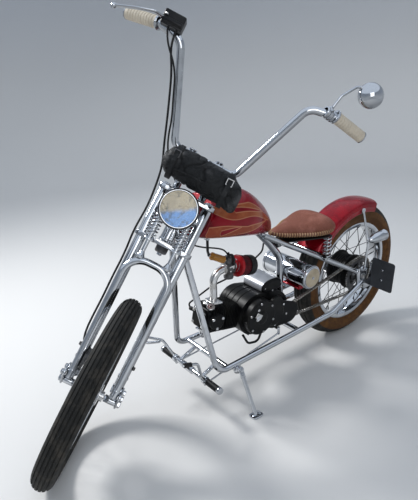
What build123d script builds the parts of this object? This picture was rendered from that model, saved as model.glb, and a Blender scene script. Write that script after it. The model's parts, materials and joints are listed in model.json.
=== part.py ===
from build123d import *
import math
import os

# Chopper motorcycle, parked on its side stand with the steering on its left stop.
# Millimetres. Every piece is first drawn on the upright machine with the steering straight:
# x points forward, y to the rider's left, z up, and the origin lies under the rear axle.
# The last section steers the front end, leans the machine on its stand and writes the files.

# Parked pose
LEAN = 5.75
STEER_LOCK = 48.5

# Wheels
WHEELBASE = 1414.0
FRONT_RADIUS = 340.0
FRONT_TYRE_HALF = 37.0
FRONT_BEAD_RADIUS = 267.0
FRONT_BEAD_HALF = 24.0
REAR_RADIUS = 330.0
REAR_TYRE_HALF = 56.0
REAR_BEAD_RADIUS = 229.0
REAR_BEAD_HALF = 40.0
RIM_LIP = 12.0
RIM_WALL = 3.0
SPOKES_PER_SIDE = 18
SPOKE_WIDTH = 4.0
AXLE_RADIUS = 8.0
SHAFT_CLEARANCE = 0.05
SEAT_GAP = 0.3

# Steering axis and fork, in the fork's own directions:
# u runs up along the steering axis from the foot of the axle's perpendicular, n runs forward
RAKE = 36.6
AXLE_OFFSET = 67.0
LEG_N = 54.0
LEG_Y = 79.0
LEG_DIAMETER = 35.0
LEG_BOTTOM = 22.0
FRONT_LEG_N = 98.0
FRONT_LEG_DIAMETER = 25.0
FRONT_LEG_BOTTOM = 20.0
ARCH_TOP = 472.0
ARCH_RADIUS = 66.0
SPRING_Y = 48.0
SPRING_BOTTOM = 545.0
SPRING_TOP = 650.0
SPRING_RADIUS = 17.5
SPRING_WIRE = 5.0
SPRING_COILS = 8
NECK_BOTTOM = 556.0
NECK_TOP = 712.0
NECK_RADIUS = 24.0
STEM_RADIUS = 17.5
TREE_THICKNESS = 16.0
TREE_GAP = 1.0

# Frame tubes
LOOP_DIAMETER = 25.4
SPINE_DIAMETER = 32.0
STAY_DIAMETER = 22.0
RAIL_HEIGHT = 214.0
AXLE_PLATE_Y = 104.0
AXLE_PLATE_THICKNESS = 8.0

# Engine
CRANK = (650.0, 345.0)
GEARBOX = (552.0, 332.0)
CYLINDER_TILT = 11.5
CASE_HALF = 62.0
OUTPUT_SPROCKET = (482.0, 300.0)
FIN_COUNT = 6

# Chain line
CHAIN_Y = 76.0
CHAIN_PITCH = 12.7
REAR_SPROCKET_RADIUS = 85.0
OUTPUT_SPROCKET_RADIUS = 28.0

SIN_RAKE = math.sin(math.radians(RAKE))
COS_RAKE = math.cos(math.radians(RAKE))
UP = Vector(-SIN_RAKE, 0, COS_RAKE)
AHEAD = Vector(COS_RAKE, 0, SIN_RAKE)
LEFT = Vector(0, 1, 0)
REAR_AXLE = Vector(0, 0, REAR_RADIUS)
FRONT_AXLE = Vector(WHEELBASE, 0, FRONT_RADIUS)
FORK_ORIGIN = FRONT_AXLE - AHEAD * AXLE_OFFSET
STEERING_AXIS = Axis(FORK_ORIGIN, UP)


def fork(u, n, y=0.0):
    """A point given in the fork's own directions."""
    return FORK_ORIGIN + UP * u + AHEAD * n + LEFT * y


def rod(start, end, diameter):
    """A round bar between two points."""
    start, end = Vector(*start), Vector(*end)
    return Part() + Solid.make_cylinder(diameter / 2, (end - start).length, Plane(origin=start, z_dir=end - start))


def disc(centre, axis, radius, thickness):
    """A disc centred on a point, with its faces square to the axis."""
    axis = Vector(*axis).normalized()
    start = Vector(*centre) - axis * (thickness / 2)
    return Part() + Solid.make_cylinder(radius, thickness, Plane(origin=start, z_dir=axis))


def block(centre, size, x_dir=(1, 0, 0), z_dir=(0, 0, 1)):
    """A box centred on a point, with its own directions."""
    return Plane(origin=centre, x_dir=x_dir, z_dir=z_dir) * Box(*size)


def fork_block(u, n, y, up_size, ahead_size, side_size):
    """A box centred on a point of the fork and square to its directions."""
    return block(fork(u, n, y), (ahead_size, side_size, up_size), x_dir=AHEAD, z_dir=UP)


def bent_tube(points, bend_radii, diameter):
    """A round tube along straight runs that are joined by tangent arcs."""
    path = FilletPolyline(*points, radius=bend_radii)
    section = Plane(origin=path @ 0, z_dir=path % 0) * Circle(diameter / 2)
    return Part() + sweep(section, path=path)


def hex_rod(start, end, width):
    """A six-sided bar between two points, for spokes."""
    start, end = Vector(*start), Vector(*end)
    section = Plane(origin=start, z_dir=end - start) * RegularPolygon(width / 2, 6)
    return Part() + extrude(section, (end - start).length)


def plane_at_axle(centre, angle=0.0):
    """A plane through an axle: its x runs outward at the angle, its y runs to the left."""
    a = math.radians(angle)
    outward = Vector(math.cos(a), 0, math.sin(a))
    return Plane(origin=centre, x_dir=outward, z_dir=outward.cross(LEFT))


def turned(centre, points, arcs=()):
    """A solid turned about a wheel's axle from (radius, y) points.
    An entry of arcs is the index of a side that bows through the middle point given with it."""
    bows = dict(arcs)
    lines = []
    for i, point in enumerate(points):
        following = points[(i + 1) % len(points)]
        if i in bows:
            lines.append(ThreePointArc(point, bows[i], following))
        else:
            lines.append(Line(point, following))
    face = plane_at_axle(centre) * make_face(Curve() + lines)
    return Part() + revolve(face, Axis(centre, LEFT), 360)


def mirrored(piece):
    """The same piece on the other side of the machine."""
    return mirror(piece, Plane.XZ)


def both(piece):
    """A piece and its mirror image, as two solids of one node."""
    return [piece, mirrored(piece)]


# Tyres


def tyre(centre, radius, half, bead_radius, bead_half):
    """A tyre with a round crown and straight beads, solid down to the rim."""
    widest = radius - half
    lip = bead_radius + RIM_LIP
    points = [(bead_radius, -bead_half), (lip, -bead_half), (widest, -half), (widest, half),
              (lip, bead_half), (bead_radius, bead_half)]
    return turned(centre, points, [(2, (radius, 0))])


front_tyre = tyre(FRONT_AXLE, FRONT_RADIUS, FRONT_TYRE_HALF, FRONT_BEAD_RADIUS, FRONT_BEAD_HALF)
rear_tyre = tyre(REAR_AXLE, REAR_RADIUS, REAR_TYRE_HALF, REAR_BEAD_RADIUS, REAR_BEAD_HALF)

# Rims, spokes and hubs


def rim(centre, bead_radius, bead_half):
    """A steel rim: a well between two lips that hold the tyre's beads."""
    outer = bead_half + RIM_WALL
    lip = bead_radius + RIM_LIP
    well = bead_radius - 13
    points = [(lip, -outer), (lip, -bead_half), (bead_radius, -bead_half), (bead_radius, bead_half),
              (lip, bead_half), (lip, outer), (bead_radius - RIM_WALL, outer),
              (well, outer * 0.45), (well, -outer * 0.45), (bead_radius - RIM_WALL, -outer)]
    return turned(centre, points)


def spokes(centre, flange_radius, flange_y, rim_radius):
    """Two rows of spokes that cross from the hub's flanges to the rim's well."""
    result = []
    for side in (-1, 1):
        for i in range(SPOKES_PER_SIDE):
            at_rim = 2 * math.pi * (i + 0.25 * side) / SPOKES_PER_SIDE
            at_hub = at_rim + math.radians(38) * (1 if i % 2 else -1)
            inner = Vector(flange_radius * math.cos(at_hub), side * flange_y, flange_radius * math.sin(at_hub))
            outer = Vector(rim_radius * math.cos(at_rim), side * 6, rim_radius * math.sin(at_rim))
            result.append(hex_rod(centre + inner, centre + outer, SPOKE_WIDTH))
    return result


FRONT_HUB_HALF = 36.0
FRONT_HUB_RADIUS = 22.0
FRONT_FLANGE_RADIUS = 36.0
DISC_Y = -FRONT_HUB_HALF - 14
DISC_THICKNESS = 4.0
DISC_RADIUS = 110.0
front_hub = turned(FRONT_AXLE, [
    (AXLE_RADIUS + SHAFT_CLEARANCE, DISC_Y - 2), (18, DISC_Y - 2), (18, -FRONT_HUB_HALF),
    (FRONT_FLANGE_RADIUS, -FRONT_HUB_HALF), (FRONT_FLANGE_RADIUS, -FRONT_HUB_HALF + 6),
    (FRONT_HUB_RADIUS, -FRONT_HUB_HALF + 10), (FRONT_HUB_RADIUS, FRONT_HUB_HALF - 10),
    (FRONT_FLANGE_RADIUS, FRONT_HUB_HALF - 6), (FRONT_FLANGE_RADIUS, FRONT_HUB_HALF),
    (18, FRONT_HUB_HALF), (18, FRONT_HUB_HALF + 14), (AXLE_RADIUS + SHAFT_CLEARANCE, FRONT_HUB_HALF + 14)])
front_rim = rim(FRONT_AXLE, FRONT_BEAD_RADIUS, FRONT_BEAD_HALF) + front_hub + spokes(
    FRONT_AXLE, FRONT_FLANGE_RADIUS - 4, FRONT_HUB_HALF - 3, FRONT_BEAD_RADIUS - 11)

front_brake_disc = turned(FRONT_AXLE, [
    (18, DISC_Y + DISC_THICKNESS / 2), (DISC_RADIUS, DISC_Y + DISC_THICKNESS / 2),
    (DISC_RADIUS, DISC_Y - DISC_THICKNESS / 2), (18, DISC_Y - DISC_THICKNESS / 2)])
for hole in range(6):
    angle = 2 * math.pi * hole / 6
    spot = FRONT_AXLE + Vector(58 * math.cos(angle), DISC_Y, 58 * math.sin(angle))
    front_brake_disc -= disc(spot, LEFT, 15, 20)

DRUM_RADIUS = 76.0
DRUM_HALF = 46.0
SPROCKET_HALF = 3.0
rear_hub = turned(REAR_AXLE, [
    (AXLE_RADIUS + SHAFT_CLEARANCE, -DRUM_HALF + 4), (60, -DRUM_HALF + 4), (60, -DRUM_HALF),
    (DRUM_RADIUS, -DRUM_HALF), (DRUM_RADIUS + 8, -DRUM_HALF + 4), (DRUM_RADIUS + 8, -DRUM_HALF + 10),
    (DRUM_RADIUS - 8, -DRUM_HALF + 16), (DRUM_RADIUS - 8, DRUM_HALF - 16), (DRUM_RADIUS + 8, DRUM_HALF - 10),
    (DRUM_RADIUS + 8, DRUM_HALF - 4), (DRUM_RADIUS, DRUM_HALF), (44, DRUM_HALF),
    (44, CHAIN_Y - SPROCKET_HALF), (AXLE_RADIUS + SHAFT_CLEARANCE, CHAIN_Y - SPROCKET_HALF)])
rear_rim = rim(REAR_AXLE, REAR_BEAD_RADIUS, REAR_BEAD_HALF) + rear_hub + spokes(
    REAR_AXLE, DRUM_RADIUS + 3, DRUM_HALF - 7, REAR_BEAD_RADIUS - 11)

sprocket_outer = REAR_SPROCKET_RADIUS - 6.2
rear_sprocket = turned(REAR_AXLE, [
    (AXLE_RADIUS + SHAFT_CLEARANCE, CHAIN_Y - SPROCKET_HALF), (sprocket_outer, CHAIN_Y - SPROCKET_HALF),
    (sprocket_outer, CHAIN_Y + SPROCKET_HALF), (AXLE_RADIUS + SHAFT_CLEARANCE, CHAIN_Y + SPROCKET_HALF)])
for hole in range(5):
    angle = 2 * math.pi * hole / 5
    spot = REAR_AXLE + Vector(60 * math.cos(angle), CHAIN_Y, 60 * math.sin(angle))
    rear_sprocket -= disc(spot, LEFT, 13, 20)

# Drive chain: link plates round both sprockets on a thin band of rollers


def chain_path_points():
    """Places and directions along the chain line, one for each link."""
    gap = Vector(OUTPUT_SPROCKET[0], 0, OUTPUT_SPROCKET[1]) - REAR_AXLE
    distance = gap.length
    along = math.atan2(gap.Z, gap.X)
    wedge = math.acos((REAR_SPROCKET_RADIUS - OUTPUT_SPROCKET_RADIUS) / distance)
    straight = math.sqrt(distance ** 2 - (REAR_SPROCKET_RADIUS - OUTPUT_SPROCKET_RADIUS) ** 2)
    rear_arc = REAR_SPROCKET_RADIUS * (2 * math.pi - 2 * wedge)
    front_arc = OUTPUT_SPROCKET_RADIUS * 2 * wedge
    total = 2 * straight + rear_arc + front_arc
    count = round(total / CHAIN_PITCH)
    front_centre = Vector(OUTPUT_SPROCKET[0], 0, OUTPUT_SPROCKET[1])
    rear_centre = Vector(REAR_AXLE.X, 0, REAR_AXLE.Z)
    places = []
    for i in range(count):
        s = total * i / count
        if s < front_arc:
            angle = along - wedge + s / OUTPUT_SPROCKET_RADIUS
            centre, radius = front_centre, OUTPUT_SPROCKET_RADIUS
            spot = centre + Vector(math.cos(angle), 0, math.sin(angle)) * radius
        elif s < front_arc + straight:
            angle = along + wedge
            t = s - front_arc
            spot = front_centre + Vector(math.cos(angle), 0, math.sin(angle)) * OUTPUT_SPROCKET_RADIUS
            spot += Vector(-math.sin(angle), 0, math.cos(angle)) * t
        elif s < front_arc + straight + rear_arc:
            angle = along + wedge + (s - front_arc - straight) / REAR_SPROCKET_RADIUS
            spot = rear_centre + Vector(math.cos(angle), 0, math.sin(angle)) * REAR_SPROCKET_RADIUS
        else:
            angle = along - wedge
            t = s - front_arc - straight - rear_arc
            spot = rear_centre + Vector(math.cos(angle), 0, math.sin(angle)) * REAR_SPROCKET_RADIUS
            spot += Vector(-math.sin(angle), 0, math.cos(angle)) * t
        places.append((spot, Vector(-math.sin(angle), 0, math.cos(angle))))
    return places


def chain_band(offset, half_width):
    """A closed belt of the chain line's outline, grown by the offset."""
    outline = make_hull((
        Pos(REAR_AXLE.X, REAR_AXLE.Z) * Circle(REAR_SPROCKET_RADIUS + offset)
        + Pos(*OUTPUT_SPROCKET) * Circle(OUTPUT_SPROCKET_RADIUS + offset)).edges())
    face = Plane(origin=(0, CHAIN_Y + half_width, 0), x_dir=(1, 0, 0), z_dir=(0, -1, 0)) * outline
    return Part() + extrude(face, 2 * half_width)


drive_chain = chain_band(3.2, 4.0) - chain_band(-3.2, 5.0)
links = []
for i, (spot, direction) in enumerate(chain_path_points()):
    width = 10.0 if i % 2 else 13.0
    links.append(block(spot + LEFT * CHAIN_Y, (10.6, width, 9.8), x_dir=direction, z_dir=direction.cross(LEFT)))
drive_chain = drive_chain + links

# Springer fork

fork_leg = rod(fork(LEG_BOTTOM, LEG_N, LEG_Y), fork(NECK_TOP + TREE_GAP, LEG_N, LEG_Y), LEG_DIAMETER)
fork_leg += disc(fork(LEG_BOTTOM + 16, LEG_N, LEG_Y), LEFT, 15, LEG_DIAMETER + 4)
fork_legs = both(fork_leg)

TREE_LOW = NECK_BOTTOM - TREE_GAP - TREE_THICKNESS / 2
TREE_HIGH = NECK_TOP + TREE_GAP + TREE_THICKNESS / 2
fork_trees = rod(fork(TREE_LOW - 24, 0), fork(TREE_HIGH + 8, 0), 2 * STEM_RADIUS)
fork_trees += rod(fork(TREE_LOW - 20, 0), fork(TREE_LOW, 0), 44)
for level in (TREE_LOW, TREE_HIGH):
    fork_trees += rod(fork(level - TREE_THICKNESS / 2, 0), fork(level + TREE_THICKNESS / 2, 0), 56)
    fork_trees += fork_block(level, LEG_N, 0, TREE_THICKNESS, 40, 2 * LEG_Y)
    fork_trees += fork_block(level, LEG_N / 2, 0, TREE_THICKNESS, LEG_N, 44)
    for side in (-1, 1):
        fork_trees += rod(fork(level - TREE_THICKNESS / 2, LEG_N, side * LEG_Y),
                          fork(level + TREE_THICKNESS / 2, LEG_N, side * LEG_Y), LEG_DIAMETER + 14)
for leg in fork_legs:
    fork_trees -= leg

PERCH_THICKNESS = 10.0
spring_perch = fork_block(SPRING_TOP + PERCH_THICKNESS / 2, FRONT_LEG_N, 0, PERCH_THICKNESS, 36, 2 * SPRING_Y + 30)
spring_perch += fork_block(SPRING_TOP + PERCH_THICKNESS / 2, (LEG_N + FRONT_LEG_N) / 2, 0, PERCH_THICKNESS,
                           FRONT_LEG_N - LEG_N, 2 * LEG_Y - 20)
for leg in fork_legs:
    spring_perch -= leg
fork_trees += fork_block((SPRING_TOP + NECK_TOP) / 2 + 6, LEG_N + 20, 0,
                         TREE_HIGH - SPRING_TOP - PERCH_THICKNESS, 10, 60)
fork_trees += spring_perch

arch_path = [fork(FRONT_LEG_BOTTOM, FRONT_LEG_N, -LEG_Y), fork(ARCH_TOP, FRONT_LEG_N, -LEG_Y),
             fork(ARCH_TOP, FRONT_LEG_N, LEG_Y), fork(FRONT_LEG_BOTTOM, FRONT_LEG_N, LEG_Y)]
front_legs = bent_tube(arch_path, ARCH_RADIUS, FRONT_LEG_DIAMETER)
for side in (-1, 1):
    front_legs += rod(fork(ARCH_TOP - 12, FRONT_LEG_N, side * SPRING_Y),
                      fork(SPRING_TOP - SEAT_GAP, FRONT_LEG_N, side * SPRING_Y), 14)
    front_legs += rod(fork(SPRING_BOTTOM - 7, FRONT_LEG_N, side * SPRING_Y),
                      fork(SPRING_BOTTOM, FRONT_LEG_N, side * SPRING_Y), 2 * SPRING_RADIUS + 6)


def coil_spring(bottom, top, coil_radius, wire, coils, core):
    """A spring as a stack of round coils on a sleeve; the sleeve's bore is the core radius."""
    pitch = (top - bottom) / coils
    lines = [Line((core, 0), (coil_radius, 0))]
    for i in range(coils):
        low = i * pitch
        lines.append(ThreePointArc((coil_radius, low), (coil_radius + wire * 0.75, low + pitch / 2),
                                   (coil_radius, low + pitch)))
    lines.append(Line((coil_radius, top - bottom), (core, top - bottom)))
    lines.append(Line((core, top - bottom), (core, 0)))
    return Plane.XZ * make_face(Curve() + lines)


def placed_spring(base, direction, length, coil_radius, wire, coils, core):
    """A coil spring that stands on a point and rises along a direction."""
    profile = coil_spring(0, length, coil_radius, wire, coils, core)
    solid = Part() + revolve(profile, Axis.Z, 360)
    return Plane(origin=base, z_dir=direction) * solid


fork_springs = both(placed_spring(fork(SPRING_BOTTOM, FRONT_LEG_N, SPRING_Y), UP, SPRING_TOP - SPRING_BOTTOM,
                                  SPRING_RADIUS - 2, SPRING_WIRE, SPRING_COILS, 7.2))

ROCKER_Y = LEG_Y + LEG_DIAMETER / 2 + 2.5
ROCKER_THICKNESS = 6.0
rocker_pins = [fork(LEG_BOTTOM + 16, LEG_N), fork(FRONT_LEG_BOTTOM + 10, FRONT_LEG_N), FRONT_AXLE]
rockers = rod(FRONT_AXLE - LEFT * (ROCKER_Y + 14), FRONT_AXLE + LEFT * (ROCKER_Y + 14), 2 * AXLE_RADIUS)
for side in (-1, 1):
    outline = Sketch()
    local = Plane(origin=FRONT_AXLE + LEFT * (side * ROCKER_Y - ROCKER_THICKNESS / 2), x_dir=(1, 0, 0), z_dir=(0, 1, 0))
    for pin, radius in zip(rocker_pins, (17, 15, 19)):
        offset = pin - FRONT_AXLE
        outline += Pos(offset.X, -offset.Z) * Circle(radius)
    plate = local * make_hull(outline.edges())
    rockers += extrude(plate, ROCKER_THICKNESS)
    for pin in rocker_pins[:2]:
        rockers += rod(pin + LEFT * (side * (ROCKER_Y - 5)), pin + LEFT * (side * (ROCKER_Y + 11)), 14)
    rockers += rod(FRONT_AXLE + LEFT * (side * (FRONT_HUB_HALF + 17)), FRONT_AXLE + LEFT * (side * ROCKER_Y), 26)
    rockers += disc(FRONT_AXLE + LEFT * (side * (ROCKER_Y + 8)), LEFT, 13, 10)
for piece in fork_legs + [front_legs]:
    rockers -= piece

# Front brake caliper, carried by the right fork leg
CALIPER_ANGLE = 118.0
caliper_at = FRONT_AXLE + Vector(math.cos(math.radians(CALIPER_ANGLE)), 0, math.sin(math.radians(CALIPER_ANGLE))) * 98
out_dir = (caliper_at - FRONT_AXLE).normalized()
brake_caliper = block(caliper_at + LEFT * (DISC_Y - 0.5), (52, 28, 66), x_dir=out_dir, z_dir=out_dir.cross(LEFT))
brake_caliper -= disc(FRONT_AXLE + LEFT * DISC_Y, LEFT, DISC_RADIUS + 6, DISC_THICKNESS + 10)
brake_caliper += fork_block(96, LEG_N + 6, DISC_Y - 17, 46, 34, 18)
for leg in fork_legs:
    brake_caliper -= leg

# Headlight: shell, ring and glass
LAMP_U = NECK_TOP - 46.0
LAMP_N = 191.0
LAMP_RADIUS = 62.0
LAMP_DEPTH = 62.0


def about_lamp(points, arcs=()):
    """A solid turned about the lamp's line; the points are (radius, n)."""
    bows = dict(arcs)
    lines = []
    for i, point in enumerate(points):
        following = points[(i + 1) % len(points)]
        lines.append(ThreePointArc(point, bows[i], following) if i in bows else Line(point, following))
    face = Plane(origin=fork(LAMP_U, 0), x_dir=LEFT, z_dir=AHEAD.cross(LEFT) * -1) * make_face(Curve() + lines)
    return Part() + revolve(face, Axis(fork(LAMP_U, 0), AHEAD), 360)


def dome_middle(radius, sag, tip):
    """A point halfway along a ball-shaped dome of a given sag, as (radius, place of that point)."""
    ball = (radius ** 2 + sag ** 2) / (2 * abs(sag))
    drop = ball - math.sqrt(ball ** 2 - (radius / 2) ** 2)
    return radius / 2, tip - math.copysign(drop, sag)


shell_back = LAMP_N - LAMP_DEPTH
headlight = about_lamp(
    [(0, shell_back), (LAMP_RADIUS, LAMP_N - 8), (LAMP_RADIUS, LAMP_N + 6), (LAMP_RADIUS - 6, LAMP_N + 10),
     (LAMP_RADIUS - 6, LAMP_N - 4), (0, shell_back + 8)],
    [(0, (LAMP_RADIUS * 0.78, shell_back + 16)), (4, (LAMP_RADIUS * 0.68, shell_back + 24))])
headlight += fork_block(LAMP_U + LAMP_RADIUS - 4, LAMP_N - 36, 0, 14, 20, 26)
headlight_glass = about_lamp(
    [(0, LAMP_N), (LAMP_RADIUS - 6, LAMP_N), (LAMP_RADIUS - 6, LAMP_N + 5), (0, LAMP_N + 16)],
    [(2, dome_middle(LAMP_RADIUS - 6, 11, LAMP_N + 16))])
lamp_arm = fork_block(TREE_HIGH, (LEG_N + LAMP_N) / 2 - 8, 0, 8, LAMP_N - LEG_N - 20, 22)
fork_trees += lamp_arm
headlight -= fork_trees

# Handlebar, risers, grips and controls
BAR_DIAMETER = 25.4
BAR_LOW = (848.0, 86.0, 108.0)
BAR_BEND = (1120.0, 200.0, 218.0)
GRIP_INNER = (1136.0, 196.0, 302.0)
GRIP_OUTER = (1137.0, 140.0, 415.0)
GRIP_RADIUS = 19.0
RISER_Y = 48.0
half_bar = [BAR_LOW, BAR_BEND, GRIP_INNER, GRIP_OUTER]
bar_points = [fork(u, n, -y) for u, n, y in reversed(half_bar)] + [fork(u, n, y) for u, n, y in half_bar]
handlebar = bent_tube(bar_points, [30, 45, 40, 40, 45, 30], BAR_DIAMETER)

riser_foot = fork(TREE_HIGH + TREE_THICKNESS / 2, 30)
riser_head = fork(BAR_LOW[0], BAR_LOW[1])
for side in (-1, 1):
    fork_trees += rod(riser_foot + LEFT * (side * RISER_Y) - UP * 2, riser_head + LEFT * (side * RISER_Y), 26)
    fork_trees += disc(riser_head + LEFT * (side * RISER_Y), LEFT, 19, 30)
fork_trees += fork_block(TREE_HIGH, 30, 0, TREE_THICKNESS, 40, 2 * RISER_Y + 20)
fork_trees -= handlebar
for leg in fork_legs:
    fork_trees -= leg


def along(start, end, distance):
    """The point on a line at a distance from its start."""
    return start + (end - start).normalized() * distance


grip_start = fork(*GRIP_INNER)
grip_end = fork(*GRIP_OUTER)
grip = rod(along(grip_start, grip_end, 4), along(grip_start, grip_end, (grip_end - grip_start).length + 3),
           2 * GRIP_RADIUS)
grip += rod(along(grip_start, grip_end, -4), along(grip_start, grip_end, 4), 2 * GRIP_RADIUS + 7)
grip = fillet(grip.faces().sort_by(Axis(grip_start, grip_end - grip_start))[-1].edges(), 6)
grip -= handlebar
grips = both(grip)

# Master cylinder, switch box and lever on the right bar end
right_inner = fork(GRIP_INNER[0], GRIP_INNER[1], -GRIP_INNER[2])
right_outer = fork(GRIP_OUTER[0], GRIP_OUTER[1], -GRIP_OUTER[2])
bar_line = (right_outer - right_inner).normalized()
box_centre = fork(GRIP_INNER[0] + 16, GRIP_INNER[1] + 14, -GRIP_INNER[2] + 42)
brake_control = block(box_centre, (44, 70, 46), x_dir=AHEAD, z_dir=UP)
brake_control = fillet(brake_control.edges(), 6)
lever_path = [box_centre + AHEAD * 16 - LEFT * 26 - UP * 6, box_centre + AHEAD * 48 - LEFT * 52 - UP * 14,
              box_centre + AHEAD * 50 - LEFT * 110 - UP * 34, box_centre + AHEAD * 40 - LEFT * 166 - UP * 52]
brake_control += bent_tube(lever_path, [20, 60], 11)
brake_control += Pos(*lever_path[-1]) * Sphere(9)
brake_control -= handlebar
for piece in grips:
    brake_control -= piece

# Left switch housing and the mirror on its stem
MIRROR_AT = (1246.0, 196.0, 372.0)
MIRROR_RADIUS = 40.0
housing_centre = fork(GRIP_INNER[0] - 3, GRIP_INNER[1] + 3, GRIP_INNER[2] - 22)
mirror_back = fork(*MIRROR_AT)
mirror_stem = [housing_centre + UP * 12, fork(GRIP_INNER[0] + 62, GRIP_INNER[1] + 6, GRIP_INNER[2] - 12),
               fork(MIRROR_AT[0] + 6, MIRROR_AT[1] + 4, MIRROR_AT[2] - 48), mirror_back - LEFT * 8]
rear_mirror = bent_tube(mirror_stem, [22, 22], 9)
rear_mirror += rod(mirror_back - AHEAD * 14, mirror_back + AHEAD * 4, 2 * MIRROR_RADIUS)
rear_mirror = rear_mirror + Plane(origin=mirror_back + AHEAD * 4, z_dir=AHEAD) * Solid.make_cone(MIRROR_RADIUS, 22, 10)
rear_mirror += block(housing_centre, (34, 30, 34), x_dir=AHEAD, z_dir=UP)
rear_mirror -= handlebar
for piece in grips:
    rear_mirror -= piece

# Tool roll strapped between the bars and the headlight
BAG_RIGHT = -118.0
BAG_LEFT = 160.0


def bag_section(y, u, n, height, depth):
    """An oval section of the tool roll, square to the bars."""
    return Plane(origin=fork(u, n, y), x_dir=AHEAD, z_dir=LEFT) * Ellipse(depth / 2, height / 2)


# y, u, n, height and depth of each section
BAG_SECTIONS = [
    (BAG_RIGHT, 800, 154, 56, 52),
    (BAG_RIGHT + 26, 802, 154, 108, 82),
    (0, 800, 155, 118, 90),
    (BAG_LEFT - 60, 790, 154, 112, 88),
    (BAG_LEFT - 16, 778, 152, 96, 70),
    (BAG_LEFT, 772, 151, 60, 34),
]
tool_roll = Part() + loft([bag_section(*row) for row in BAG_SECTIONS])
STRAP_WIDTH = 16.0
STRAP_THICKNESS = 3.0
bar_place = fork(BAR_LOW[0], BAR_LOW[1])
for y in (-74, 74):
    loop = disc(bar_place + LEFT * y, LEFT, BAR_DIAMETER / 2 + SEAT_GAP + STRAP_THICKNESS, STRAP_WIDTH)
    loop += fork_block(BAR_LOW[0] - 9, BAR_LOW[1] + 34, y, STRAP_THICKNESS, 46, STRAP_WIDTH)
    loop -= disc(bar_place + LEFT * y, LEFT, BAR_DIAMETER / 2 + SEAT_GAP, STRAP_WIDTH + 2)
    tool_roll += loop

# Frame: head tube, backbone and seat tube
SPINE_POINTS = [fork(NECK_BOTTOM + 92, 0), Vector(618, 0, 700), Vector(530, 0, 612), Vector(455, 0, 520),
                Vector(449, 0, RAIL_HEIGHT)]
SPINE_BENDS = [90, 130, 120]
neck = rod(fork(NECK_BOTTOM, 0), fork(NECK_TOP, 0), 2 * NECK_RADIUS)
frame_spine = neck + bent_tube(SPINE_POINTS, SPINE_BENDS, SPINE_DIAMETER)
neck_bore = rod(fork(NECK_BOTTOM - 5, 0), fork(NECK_TOP + 5, 0), 2 * (STEM_RADIUS + SHAFT_CLEARANCE))

# Frame loops: downtube, lower rail and the rise to the axle plate
LOOP_TOP = fork(NECK_BOTTOM + 60, -4, 16)
LOOP_CORNER = Vector(LOOP_TOP.X - 78, 133, RAIL_HEIGHT)
RAIL_REAR = Vector(225, 120, RAIL_HEIGHT + 4)
RAIL_END = Vector(6, 107, 300)
loop_points = [LOOP_TOP, LOOP_CORNER, RAIL_REAR, RAIL_END]
frame_loop = bent_tube(loop_points, [55, 120], LOOP_DIAMETER)
frame_loop -= neck

cross_low = rod((SPINE_POINTS[-1].X, -128, RAIL_HEIGHT), (SPINE_POINTS[-1].X, 128, RAIL_HEIGHT), LOOP_DIAMETER)
frame_spine += cross_low

# Axle plates and the stays that run up to the seat tube
axle_plate_outline = make_hull((Pos(0, REAR_RADIUS) * Circle(26) + Pos(34, REAR_RADIUS + 32) * Circle(16)
                                + Pos(22, REAR_RADIUS - 30) * Circle(16)
                                + Pos(4, REAR_RADIUS + 40) * Circle(16)).edges())
axle_plate_face = Plane(origin=(0, AXLE_PLATE_Y + AXLE_PLATE_THICKNESS / 2, 0), x_dir=(1, 0, 0), z_dir=(0, -1, 0))
axle_plate = Part() + extrude(axle_plate_face * axle_plate_outline, AXLE_PLATE_THICKNESS)
axle_plate -= disc(REAR_AXLE + LEFT * AXLE_PLATE_Y, LEFT, AXLE_RADIUS, 40)
STAY_TOP = Vector(583, SPINE_DIAMETER / 2 + STAY_DIAMETER / 2, 661)
STAY_END = Vector(46, AXLE_PLATE_Y, 364)
stay = rod(STAY_TOP, STAY_END, STAY_DIAMETER)
stay -= axle_plate
frame_loop -= axle_plate
FENDER_GAP = 24.0
FENDER_RADIUS = REAR_RADIUS + FENDER_GAP
FENDER_CROSS_ANGLE = 32.4
cross_angle = math.radians(FENDER_CROSS_ANGLE)
FENDER_CROSS = REAR_AXLE + Vector(math.cos(cross_angle), 0, math.sin(cross_angle)) * (FENDER_RADIUS - 14)
fender_cross = rod(FENDER_CROSS - LEFT * 70, FENDER_CROSS + LEFT * 70, 16)
SPRING_SEAT_X = 262.0
stay_share = (STAY_TOP.X - SPRING_SEAT_X) / (STAY_TOP.X - STAY_END.X)
spring_seat = STAY_TOP + (STAY_END - STAY_TOP) * stay_share
SADDLE_SPRING_Y = 89.0
spring_base = Vector(spring_seat.X, SADDLE_SPRING_Y, spring_seat.Z + STAY_DIAMETER / 2 + 4)
seat_pad = rod(spring_base - Vector(0, 0, 6), spring_base, 38)
seat_pad += block(spring_base - Vector(0, 9, 10), (22, 26, 14))
frame_stays = stay + mirrored(stay) + fender_cross + axle_plate + mirrored(axle_plate)
frame_stays += seat_pad + mirrored(seat_pad)
frame_stays -= frame_spine
stand_pivot = Vector(LOOP_CORNER.X - 92, 162, 203)
stand_bracket = block((stand_pivot.X, 136, stand_pivot.Z + 3), (34, 16, 22))
frame_loop_right = mirrored(frame_loop)
frame_loop_left = frame_loop + (stand_bracket - frame_loop)
frame_spine -= frame_loop_left
frame_spine -= frame_loop_right
frame_spine -= neck_bore

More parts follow.
